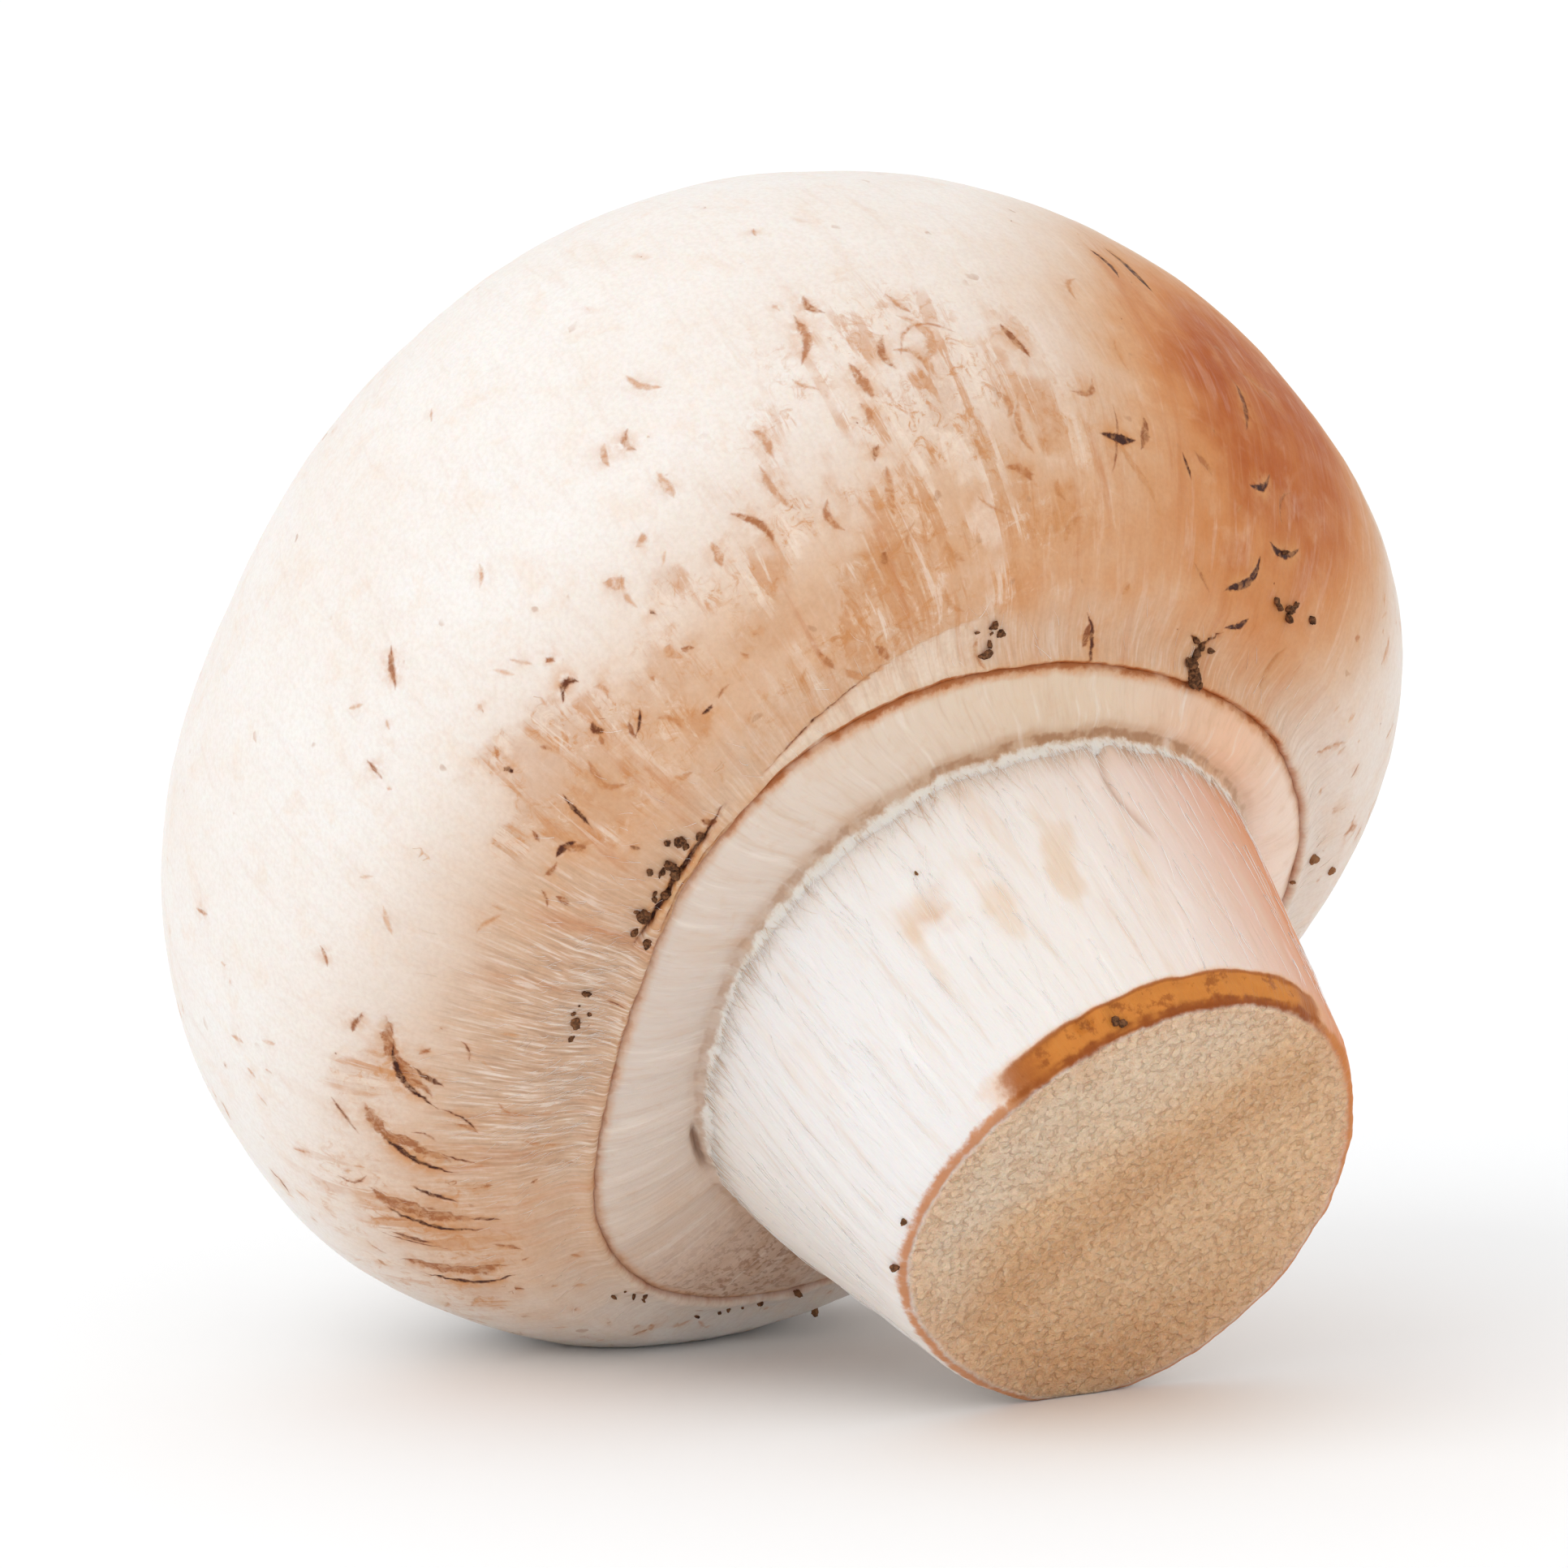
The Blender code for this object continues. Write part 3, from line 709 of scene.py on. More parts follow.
V_COLUMNS = 720
v_out, v_in = MARGIN_RADIUS + 0.14, VEIL_INNER_RADIUS - 0.48
front = [(v_out, -(MARGIN_DEPTH - 0.45)), (v_out - 0.04, -(MARGIN_DEPTH - 0.02))]
for i in range(13):
    t = i / 12.0
    front.append((v_out - 0.15 + (VEIL_INNER_RADIUS + 0.15 - v_out + 0.15) * t,
                  -(MARGIN_DEPTH + 0.13 + (VEIL_INNER_DEPTH - MARGIN_DEPTH - 0.13) * t
                    + VEIL_CROWNING * math.sin(math.pi * t) ** 0.8)))
front += [(VEIL_INNER_RADIUS - 0.10, -(VEIL_INNER_DEPTH + 0.10)), (VEIL_INNER_RADIUS - 0.24, -(VEIL_INNER_DEPTH + 0.30)),
          (VEIL_INNER_RADIUS - 0.33, -(VEIL_INNER_DEPTH + 0.60)), (v_in, -(VEIL_INNER_DEPTH + 0.85))]
v_rz, v_at = resample(chaikin(front, 2), lambda r, z, a, t: 0.085)
back, _ = resample(np.array([(v_in - 0.05, -(VEIL_INNER_DEPTH - 0.2)), (v_in, -11.3),
                             (v_in + 0.5, -11.0), (v_out - 0.4, -11.0), (v_out, -11.25)]),
                   lambda r, z, a, t: 0.8)
v_all = np.concatenate([v_rz, back])
v_len = np.r_[0, np.cumsum(np.hypot(*np.diff(np.vstack([v_all, v_all[:1]]), axis=0).T))]
v_ang = (np.arange(V_COLUMNS) / V_COLUMNS * 2 - 1) * math.pi
vR, vA = np.broadcast_arrays(v_all[:, 0:1], v_ang[None, :])
vZ = np.broadcast_to(v_all[:, 1:2], vR.shape)
vDEG = np.degrees(vA)
seen = np.zeros(vR.shape)
seen[:len(v_rz)] = 1.0
v_base = press_veil(vR, vZ, vA)
v_w = ramp(vR, VEIL_INNER_RADIUS, MARGIN_RADIUS - GAP)
v_rad = np.stack([np.cos(vA), np.sin(vA), 0 * vA], -1)
v_base = v_base + v_rad * (margin_jitter(vA) * v_w + neck_jitter(vA) * (1 - v_w))[..., None]
veil = Turned(v_base.copy(), v_ang, loop_rows=True)
v_nrm = veil.normals()
v_in_mm = vR - VEIL_INNER_RADIUS                   # from the stem outwards
v_out_mm = MARGIN_RADIUS - vR
v_fib = np.stack([np.cos(vA) * 14, np.sin(vA) * 14, vR * 0.12], -1)
v_fib3 = np.stack([np.cos(vA) * 14, np.sin(vA) * 14, vR * 0.35], -1)
left_low = np.exp(-(turn_of(vDEG, 152.0) / 34.0) ** 2)
top_side = np.exp(-(turn_of(vDEG, -95.0) / 50.0) ** 2)
v_rel = (0.03 + 0.16 * left_low) * fbm(v_fib, 1.3, 2, seed=101) + 0.05 * left_low * fbm(v_fib, 0.5, 2, seed=107)
v_rel += 0.06 * fbm(v_base, 3.0, 2, seed=102)
v_rel += 0.035 * fbm(v_fib, 0.55, 2, seed=103) + 0.012 * fbm(v_fib3, 0.25, 1, seed=104)
grain = np.exp(-(turn_of(vDEG, 102.0) / 13.0) ** 2)
v_rel += 0.09 * grain * fbm(v_base, 0.55, 2, seed=105)
fold = np.exp(-(turn_of(vDEG, 141.0) / 6.5) ** 4) * np.exp(-((v_in_mm - 0.12 - 0.05 * turn_of(vDEG, 141.0) / 6.0) / 0.11) ** 2)
v_rel -= 0.30 * fold
v_rel *= seen * ramp(v_out_mm, -0.1, 0.2) * ramp(v_in_mm, -0.45, -0.1)
veil.pos = v_base + v_nrm * v_rel[..., None]
veil_nrm = veil.normals()

v_n1, v_n2 = fbm(v_base, 4.0, 3, seed=111), fbm(v_base, 1.2, 3, seed=112)
v_s = fbm(v_fib, 0.7, 2, seed=113)
veil_tint = np.broadcast_to(lin(230, 213, 198), vR.shape + (3,)).copy()
# the tints round the veil are partly its own tone and partly painted light: painted shade in the tan underneath at 100
# degrees, painted warm bounce light in the orange at -52 degrees
cool = np.exp(-(turn_of(vDEG, 175.0) / 48.0) ** 2)
veil_tint = lay(veil_tint, 0.85 * cool, lin(214, 199, 188))
veil_tint = lay(veil_tint, 0.75 * np.exp(-(turn_of(vDEG, -92.0) / 30.0) ** 2), lin(222, 196, 168))
veil_tint = lay(veil_tint, 0.85 * np.exp(-(turn_of(vDEG, -52.0) / 20.0) ** 2), lin(236, 186, 150))
veil_tint = lay(veil_tint, 0.85 * np.exp(-(turn_of(vDEG, -18.0) / 22.0) ** 2), lin(246, 222, 206))
veil_tint = lay(veil_tint, 0.80 * np.exp(-(turn_of(vDEG, 100.0) / 26.0) ** 2), lin(206, 172, 150))
veil_tint = lay(veil_tint, 0.28 * ramp(v_n1 + 0.4 * v_s, 0.0, 0.6), lin(214, 176, 142))
veil_tint = lay(veil_tint, 0.55 * grain * ramp(v_n2, 0, 0.5), lin(178, 132, 100))
veil_tint = lay(veil_tint, (0.20 + 0.3 * top_side) * (1 - ramp(v_in_mm + 0.35 * v_n2, 0.0, 0.7)), lin(192, 142, 100))
veil_tint = lay(veil_tint, 0.35 * (1 - ramp(v_out_mm + 0.2 * v_n2, 0.0, 0.4)), lin(206, 150, 104))
v_turn = np.degrees(v_ang)
v_ringd = np.broadcast_to((0.45 + 0.55 * (1.0 - ramp(np.abs(turn_of(v_turn, -92.0)), 44.0, 62.0)))[None, :], vR.shape)
v_neckd = np.broadcast_to((0.45 + 0.50 * np.exp(-(turn_of(v_turn, -90.0) / 50.0) ** 2))[None, :], vR.shape)


def veil_chart(length):
    k = 0.10 + 0.38 * length / v_len[-1]
    return k


vk = veil_chart(v_len[:-1])[:, None]
v_uv = np.stack([0.5 + vk * np.cos(vA), 0.5 + vk * np.sin(vA)], -1)
v_close = np.stack([0.5 + 0.48 * np.cos(v_ang), 0.5 + 0.48 * np.sin(v_ang)], -1)
veil_obj = veil.mesh("mushroom_veil",
                     {"in_mm": v_in_mm, "out_mm": v_out_mm, "ring": v_ringd, "neck": v_neckd,
                      "grain": grain, "fold": fold},
                     {"fib": v_fib, "tint": veil_tint}, v_uv, v_close)

# ---------------------------------------------------------------------------
# The stem
# ---------------------------------------------------------------------------
def stem_radius(z):
    t = max(0.0, (-z - VEIL_INNER_DEPTH) / (STEM_CUT_DEPTH - VEIL_INNER_DEPTH))
    return STEM_TOP_RADIUS + (STEM_CUT_RADIUS - STEM_TOP_RADIUS) * t ** STEM_TAPER_POWER


T_COLUMNS = 480
side = [(stem_radius(-z), -z) for z in np.linspace(11.2, STEM_CUT_DEPTH - 0.55, 90)]
rc = STEM_CUT_RADIUS
rim = [(rc - 0.02, -(STEM_CUT_DEPTH - 0.30)), (rc - 0.12, -(STEM_CUT_DEPTH - 0.10)),
       (rc - 0.34, -STEM_CUT_DEPTH + 0.01), (rc - 0.62, -STEM_CUT_DEPTH)]
body = chaikin(side[-3:] + rim, 2)
t_line = np.concatenate([np.array(side[:-3]), body, np.array([(0.12, -STEM_CUT_DEPTH)])])


def stem_spacing(r, z, at, total):
    if z < -(STEM_CUT_DEPTH - 1.4) and r > rc - 0.9:
        return 0.075
    if z > -(STEM_CUT_DEPTH - 1.4):
        return 0.15 if z < -12.4 else 0.5
    return 0.125


t_rz, t_at = resample(t_line, stem_spacing)
top_in, _ = resample(np.array([(0.6, -STEM_TOP_DEPTH), (STEM_TOP_RADIUS - 0.35, -STEM_TOP_DEPTH),
                               (STEM_TOP_RADIUS - 0.2, -STEM_TOP_DEPTH - 0.35), (STEM_TOP_RADIUS - 0.2, -10.9)]),
                     lambda r, z, a, t: 1.6)
t_all = np.concatenate([top_in, t_rz])
t_len = np.r_[0, np.cumsum(np.hypot(*np.diff(t_all, axis=0).T))]
t_ang = (np.arange(T_COLUMNS) / T_COLUMNS * 2 - 1) * math.pi
tR, tA = np.broadcast_arrays(t_all[:, 0:1], t_ang[None, :])
tZ = np.broadcast_to(t_all[:, 1:2], tR.shape)
tDEG = np.degrees(tA)
t_base = press_stem(tR, tZ, tA)
neck_w = np.exp(-((tZ + 13.4) / 1.3) ** 2) * (tR > 9.0)
t_base = t_base + np.stack([np.cos(tA), np.sin(tA), 0 * tA], -1) * (neck_jitter(tA) * neck_w)[..., None]
stem = Turned(t_base.copy(), t_ang, pole_first=(*stem_centre(0.0), -STEM_TOP_DEPTH),
              pole_last=(*[float(c) for c in stem_centre(-STEM_CUT_DEPTH)], -STEM_CUT_DEPTH))
t_nrm = stem.normals()
rows_face = (tZ < -(STEM_CUT_DEPTH - 0.02)) & (tR < rc - 0.5)
on_face = ramp(rc - 0.30 - tR, 0.0, 0.35) * (tZ < -(STEM_CUT_DEPTH - 0.2))
up_mm = -tZ - STEM_CUT_DEPTH                      # 0 at the cut, negative up the side
# the bevel where the knife and handling browned the upper rim
bevel_turn = np.interp(turn_of(tDEG, -98.0), [-52, -38, -20, 0, 20, 34, 46], [0, 0.55, 0.95, 1.0, 0.9, 0.5, 0])
bevel = bevel_turn * ramp(up_mm, -1.35 - 0.3 * fbm(t_base, 1.6, 2, seed=201), -0.85) * (1 - ramp(rc - tR, 0.15, 0.55) * (tZ < -(STEM_CUT_DEPTH - 0.2)))
t_fib = np.stack([np.cos(tA) * 11, np.sin(tA) * 11, tZ * 0.10], -1)
t_fib2 = np.stack([np.cos(tA) * 11, np.sin(tA) * 11, tZ * 0.22], -1)
t_rel = (1 - on_face) * (0.09 * fbm(t_fib, 3.2, 2, seed=211) + 0.045 * fbm(t_fib, 0.95, 2, seed=212)
                         + 0.018 * fbm(t_fib2, 0.38, 2, seed=213) + 0.03 * fbm(t_base, 2.4, 2, seed=214))
# a long crease down the top and shallow dents
crease = np.exp(-((turn_of(tDEG, -88.2 + 1.2 * np.sin(tZ * 1.3)) * 0.2) / 0.16) ** 2) * ramp(tZ, -18.6, -17.2) * (1 - ramp(tZ, -13.7, -13.0))
t_rel -= 0.16 * crease
t_rel += 0.10 * np.exp(-((turn_of(tDEG, -83.0) * 0.2) / 0.5) ** 2 - ((tZ + 16.0) / 2.0) ** 2)
t_rel -= 0.22 * np.exp(-((turn_of(tDEG, -150.0) * 0.2) / 1.3) ** 2 - ((tZ + 19.0) / 2.6) ** 2)
t_rel -= bevel * (0.22 + 0.16 * fbm(t_base, 0.9, 3, seed=215))
notch = np.exp(-((turn_of(tDEG, -121.5) * 0.19) / 0.35) ** 2 - ((up_mm + 0.8) / 0.4) ** 2)
t_rel -= 0.28 * notch
t_rel += 0.20 * np.exp(-((turn_of(tDEG, -118.0) * 0.19) / 0.30) ** 2 - ((up_mm + 0.9) / 0.35) ** 2)
# the cut face: pith like wet crumb, with a faint step where the blade turned
face_n = fbm(t_base, 0.62, 2, seed=221)
t_rel += on_face * (0.10 * fbm(t_base, 5.0, 2, seed=222) + 0.06 * face_n + 0.085 * fbm(t_base, 0.34, 1, seed=223)
                    - 0.05 * ramp(fbm(t_base, 0.9, 2, seed=224), 0.25, 0.6))
t_rel *= ramp(-tZ, 11.4, 12.4)
rimj = fbm(np.stack([np.cos(tA) * rc, np.sin(tA) * rc, 0 * tA], -1), 1.1, 3, seed=225)
near_rim = np.exp(-np.abs(up_mm) / 0.5) * (tR > rc - 1.2)
stem.pos = t_base + t_nrm * t_rel[..., None] + np.stack([np.cos(tA), np.sin(tA), 0 * tA], -1) * (0.09 * rimj * near_rim)[..., None]
stem_nrm = stem.normals()

tw1, tw2, tw3 = fbm(t_base, 5.0, 3, seed=231), fbm(t_base, 1.6, 3, seed=232), fbm(t_fib, 1.0, 3, seed=233)
stem_tint = np.broadcast_to(lin(236, 229, 222), tR.shape + (3,)).copy()
stem_tint = lay(stem_tint, 0.9 * np.exp(-(turn_of(tDEG, -168.0) / 44.0) ** 2), lin(234, 231, 230))
# painted warm bounce light: an orange glow down the stem's right side
stem_tint = lay(stem_tint, np.exp(-(turn_of(tDEG, -36.0) / 42.0) ** 2), lin(216, 132, 74))
stem_tint = lay(stem_tint, 0.40 * np.exp(-(turn_of(tDEG, 60.0) / 60.0) ** 2), lin(228, 204, 184))
stem_tint = lay(stem_tint, 0.45 * ramp(tw3 + 0.5 * tw1, 0.15, 0.8), lin(226, 196, 170))
near_veil = ramp(tZ, -15.2, -13.1)
stem_tint = lay(stem_tint, (0.30 + 0.35 * np.exp(-(turn_of(tDEG, -85.0) / 45.0) ** 2)) * near_veil, lin(214, 174, 138))
marks_tan = (np.exp(-((turn_of(tDEG, -132.0) * 0.2) / 1.5) ** 2 - ((tZ + 17.6 + 0.6 * tw2) / 0.8) ** 2)
             * ramp(tw2, -0.2, 0.4))
stem_tint = lay(stem_tint, 0.60 * marks_tan, lin(214, 168, 124))
smudge = (ramp(fbm(t_fib2, 1.5, 3, seed=241) + 0.3 * tw2, 0.16, 0.50) * np.exp(-(turn_of(tDEG, -118.0) / 34.0) ** 2)
          * np.exp(-((tZ + 18.0) / 3.2) ** 2))
stem_tint = lay(stem_tint, 0.55 * smudge, lin(222, 186, 146))
stem_tint = lay(stem_tint, 0.5 * crease, lin(200, 158, 124))
stem_tint = lay(stem_tint, 0.93 * ramp(bevel + 0.25 * tw2, 0.25, 0.65), lin(192, 112, 34))
face_tint = np.broadcast_to(lin(238, 196, 154), tR.shape + (3,)).copy()
fx, fy = t_base[..., 0] - 2.1, t_base[..., 1] - 0.6
diag = (fx * 0.72 + fy * 0.69) + 1.0 * tw1
face_tint = lay(face_tint, 0.75 * np.exp(-((diag + 0.8) / 1.9) ** 2), lin(218, 168, 122))
face_tint = lay(face_tint, 0.70 * ramp(-fx * 0.6 - fy * 0.75 + 2.0 * tw1, 2.5, 6.5), lin(238, 214, 188))
face_tint = lay(face_tint, 0.60 * ramp(-fx + 1.5 * tw1, 4.0, 8.0), lin(236, 212, 186))
face_tint = lay(face_tint, 0.30 * ramp(tw2, 0.1, 0.7), lin(212, 158, 110))
face_tint = lay(face_tint, 0.50 * np.exp(-(turn_of(tDEG, 75.0) / 50.0) ** 2) * ramp(tR, 4.0, 8.5), lin(218, 158, 104))
face_tint = lay(face_tint, 0.55 * ramp(tR + 0.7 * tw2, rc - 2.0, rc - 0.7), lin(234, 194, 156))
stem_tint = stem_tint * (1 - on_face[..., None]) + np.minimum(face_tint * 1.08, 0.93) * on_face[..., None]

t_from_face = t_len[-1] - t_len
stem_obj = stem.mesh("mushroom_stem",
                     {"up_mm": up_mm, "face": on_face, "bevel": bevel, "bevel_turn": bevel_turn,
                      "crease": crease, "rim_r": tR - rc},
                     {"fib": t_fib, "tint": stem_tint},
                     disc_uv(tA, np.broadcast_to((t_from_face + 0.12)[:, None], tA.shape), t_len[-1] + 0.9))


# ---------------------------------------------------------------------------
# Loose things: fine threads and crumbs of casing soil
# ---------------------------------------------------------------------------
def cell_uv(me):
    """Every face gets its own small cell of the chart."""
    layer = me.uv_layers.new(name="OFBake")
    n = len(me.polygons)
    k = int(math.ceil(math.sqrt(n)))
    start = np.zeros(n, int)
    total = np.zeros(n, int)
    me.polygons.foreach_get("loop_start", start)
    me.polygons.foreach_get("loop_total", total)
    uv = np.zeros((len(me.loops), 2))
    corners = np.array([(0.15, 0.15), (0.85, 0.15), (0.85, 0.85), (0.15, 0.85)])
    cell = np.stack([np.arange(n) % k, np.arange(n) // k], 1)
    for c in range(4):
        has = total > c
        uv[start[has] + c] = (cell[has] + corners[c]) / k
    layer.data.foreach_set("uv", uv.astype(np.float32).ravel())


def build(name, verts_mm, faces, values, smooth=True):
    me = bpy.data.meshes.new(name)
    me.from_pydata((np.asarray(verts_mm) * 0.001).tolist(), [], faces)
    me.update()
    for key, field in values.items():
        a = me.attributes.new(key, "FLOAT", "POINT")
        a.data.foreach_set("value", np.asarray(field, np.float32))
    me.polygons.foreach_set("use_smooth", np.full(len(me.polygons), smooth))
    cell_uv(me)
    obj = bpy.data.objects.new(name, me)
    bpy.context.scene.collection.objects.link(obj)
    return obj


def threads(name, strands, sides=3):
    """strands: list of (points n x 3 world mm, radius at the root, shade)."""
    verts, faces, shade, along = [], [], [], []
    for pts, radius, tone in strands:
        pts = np.asarray(pts)
        n = len(pts)
        tang = np.gradient(pts, axis=0)
        tang /= np.linalg.norm(tang, axis=1)[:, None] + 1e-12
        up = np.array((0.31, 0.17, 0.93))
        u = np.cross(tang, up)
        u /= np.linalg.norm(u, axis=1)[:, None] + 1e-12
        v = np.cross(tang, u)
        first = len(verts)
        for i in range(n - 1):
            rr = radius * (1.0 - 0.75 * i / (n - 1))
            for k in range(sides):
                a = 2 * math.pi * k / sides
                verts.append(pts[i] + rr * (math.cos(a) * u[i] + math.sin(a) * v[i]))
                shade.append(tone)
                along.append(i / (n - 1))
        verts.append(pts[-1])
        shade.append(tone)
        along.append(1.0)
        tip = len(verts) - 1
        for i in range(n - 2):
            for k in range(sides):
                a, b = first + i * sides + k, first + i * sides + (k + 1) % sides
                faces.append((a, b, b + sides, a + sides))
        base_i = first + (n - 2) * sides
        for k in range(sides):
            faces.append((base_i + k, base_i + (k + 1) % sides, tip))
        faces.append(tuple(first + k for k in reversed(range(sides))))
    verts = np.array(verts)
    verts[:, 2] = np.maximum(verts[:, 2], 0.02)
    return build(name, verts, faces, {"shade": shade, "along": along})


def row_for(at_table, value):
    """Fractional row at which an increasing table reaches a value."""
    return np.interp(value, at_table, np.arange(len(at_table)))


# threads that cross from the veil's inner edge and lie down on the stem
rng = np.random.RandomState(77)
strands = []
stem_rows_side = np.nonzero((t_all[:, 1] < -12.3) & (t_all[:, 1] > -(STEM_CUT_DEPTH - 1.0)) & (t_all[:, 0] > rc - 0.5))[0]
depth_table = -t_all[stem_rows_side, 1]
row_lo = stem_rows_side[0]
for _ in range(1500):
    a0 = rng.uniform(-180, 180)
    length = 0.35 + rng.gamma(2.0, 0.36)
    drift = rng.normal(0, 2.2)
    n = 6
    t = np.linspace(0, 1, n)
    deg = a0 + drift * t * t * 0.5 + rng.normal(0, 0.25) * np.sin(3 * t)
    depth_mm = 13.62 + rng.uniform(-0.30, 0.15) + length * t
    row = row_lo + row_for(depth_table, depth_mm)
    p = stem.at(stem.pos, row, deg)
    nn = stem.at(stem_nrm, row, deg)
    lift = 0.01 + (0.05 + 0.16 * rng.rand() ** 3) * np.sin(math.pi * (0.12 + 0.8 * t)) * np.exp(-1.5 * t)
    strands.append((world(p + nn * lift[:, None]), 0.008 + 0.008 * rng.rand(), rng.rand()))
neck_obj = threads("veil_threads", strands)

# silky strands lying along the stem
strands = []
for _ in range(520):
    a0 = rng.uniform(-180, 180)
    z0 = rng.uniform(13.3, 22.5)
    length = 0.8 + 2.4 * rng.rand()
    t = np.linspace(0, 1, 6)
    deg = a0 + rng.normal(0, 1.2) * t + rng.normal(0, 0.3) * np.sin(4 * t)
    depth_mm = np.minimum(z0 + length * t, STEM_CUT_DEPTH - 1.2)
    row = row_lo + row_for(depth_table, depth_mm)
    p = stem.at(stem.pos, row, deg)
    nn = stem.at(stem_nrm, row, deg)
    strands.append((world(p + nn * (0.012 + 0.03 * np.sin(math.pi * t))[:, None]), 0.010 + 0.010 * rng.rand(),
                    0.6 + 0.4 * rng.rand()))
silk_obj = threads("stem_threads", strands)

# a felt of short threads low on the cap and sparse ones along its edge
strands = []
out_s = all_s[:n_out]
for i in range(640):
    if i < 480:
        a0 = 172 + rng.normal(0, 17)
        s0 = 0.6 + abs(rng.normal(0, 2.6))
    else:
        a0, s0 = rng.uniform(-180, 180), 0.2 + abs(rng.normal(0, 1.6))
    length = 0.35 + 0.7 * rng.rand()
    lean = math.radians(rng.normal(112, 16))
    t = np.linspace(0, 1, 6)
    rr = float(np.interp(s0, out_s[::-1], cap_rz[::-1, 0]))
    deg = a0 + math.cos(lean) * length * t / (rr * math.pi / 180) + rng.normal(0, 0.12) * np.sin(4 * t)
    ss = s0 + math.sin(lean) * length * t + rng.normal(0, 0.01) * np.sin(5 * t)
    row = n_out - 1 - np.interp(ss, out_s[::-1], np.arange(n_out))
    p = cap.at(cap.pos, row, deg)
    nn = cap.at(cap_nrm, row, deg)
    lift = 0.004 + 0.02 * rng.rand() * np.sin(math.pi * t)
    strands.append((world(p + nn * lift[:, None]), 0.007 + 0.006 * rng.rand(), rng.rand()))
felt_obj = threads("cap_threads", strands)

# crumbs of soil
ball = bmesh.new()
bmesh.ops.create_icosphere(ball, subdivisions=3, radius=1.0)
ball_v = np.array([v.co[:] for v in ball.verts])
ball_f = [tuple(v.index for v in f.verts) for f in ball.faces]
ball.free()


def crumbs(name, places):
    """places: (point world mm, normal world, size mm, shade)."""
    verts, faces, shade = [], [], []
    for i, (p, nn, size, tone) in enumerate(places):
        local = np.random.RandomState(300 + i)
        squash = local.uniform(0.35, 1.15, 3)
        m = np.linalg.qr(local.normal(size=(3, 3)))[0]
        v = (ball_v * squash) @ m
        v = v * (1.0 + 0.95 * fbm(v, 1.1, 4, seed=400 + i, gain=0.65)[:, None])
        v = v * size * 0.68 + np.asarray(p) + np.asarray(nn) * size * 0.22
        off = len(verts) * len(ball_v)
        verts.append(v)
        faces += [tuple(k + off for k in f) for f in ball_f]
        shade += [tone] * len(v)
    verts = np.concatenate(verts)
    verts[:, 2] = np.maximum(verts[:, 2], 0.01)
    return build(name, verts, faces, {"shade": shade}, smooth=True)


def on_cap(deg, s):
    row = n_out - 1 - np.interp(s, out_s[::-1], np.arange(n_out))
    p, nn = cap.at(cap.pos, row, deg), cap.at(cap_nrm, row, deg)
    return world(p), nn[0] * AX + nn[1] * AY + nn[2] * AZ


def on_stem(deg, depth_mm, inward=0.0):
    row = row_lo + row_for(depth_table, depth_mm) if depth_mm < STEM_CUT_DEPTH - 1.0 else \
        np.interp(depth_mm, -t_all[stem_rows_side[0]:, 1][:60] if False else [STEM_CUT_DEPTH - 1.0, STEM_CUT_DEPTH],
                  [stem_rows_side[-1], stem_rows_side[-1] + 13])
    p, nn = stem.at(stem.pos, row, deg), stem.at(stem_nrm, row, deg)
    return world(p), nn[0] * AX + nn[1] * AY + nn[2] * AZ


rng = np.random.RandomState(88)
places = []
# soil caught where the skin is split: middle angle and mm above the edge, reach
# in degrees and mm, how many crumbs, usual size
for deg0, s0, reach_a, reach_s, count, big in (
        (-157.0, 1.1, 6.0, 0.30, 18, 0.36), (-103.5, 1.6, 2.2, 0.45, 7, 0.28),
        (-68.0, 1.0, 1.4, 0.60, 11, 0.38), (-54.0, 5.4, 4.5, 0.90, 7, 0.36),
        (112.0, 0.8, 6.0, 0.60, 7, 0.27), (177.0, 2.2, 4.5, 0.60, 6, 0.28)):
    for _ in range(count):
        deg = float(turn_of(deg0 + rng.normal(0, reach_a), 0.0))
        p, nn = on_cap(deg, abs(s0 + rng.normal(0, reach_s)) + 0.05)
        places.append((p, nn, big * (0.45 + 0.75 * rng.rand()), 0.35 * rng.rand() ** 2))
for _ in range(16):                       # a few more where no one looks first
    deg, s = rng.uniform(-20, 100), abs(rng.normal(0, 1.6)) + 0.1
    p, nn = on_cap(deg, s)
    places.append((p, nn, 0.16 + 0.2 * rng.rand(), rng.rand()))
crumb_obj = crumbs("soil_on_cap", places)
places = []
for deg, depth_mm, size, tone in ((-116, 24.35, 0.40, 0.1), (-114.6, 24.5, 0.26, 0.15), (169, 24.5, 0.30, 0.2),
                                  (-178, 24.4, 0.24, 0.3), (-131, 16.2, 0.12, 0.6), (45, 23.8, 0.3, 0.3)):
    p, nn = on_stem(deg, depth_mm)
    places.append((p, nn, size, tone))
soil_obj = crumbs("soil_on_stem", places)


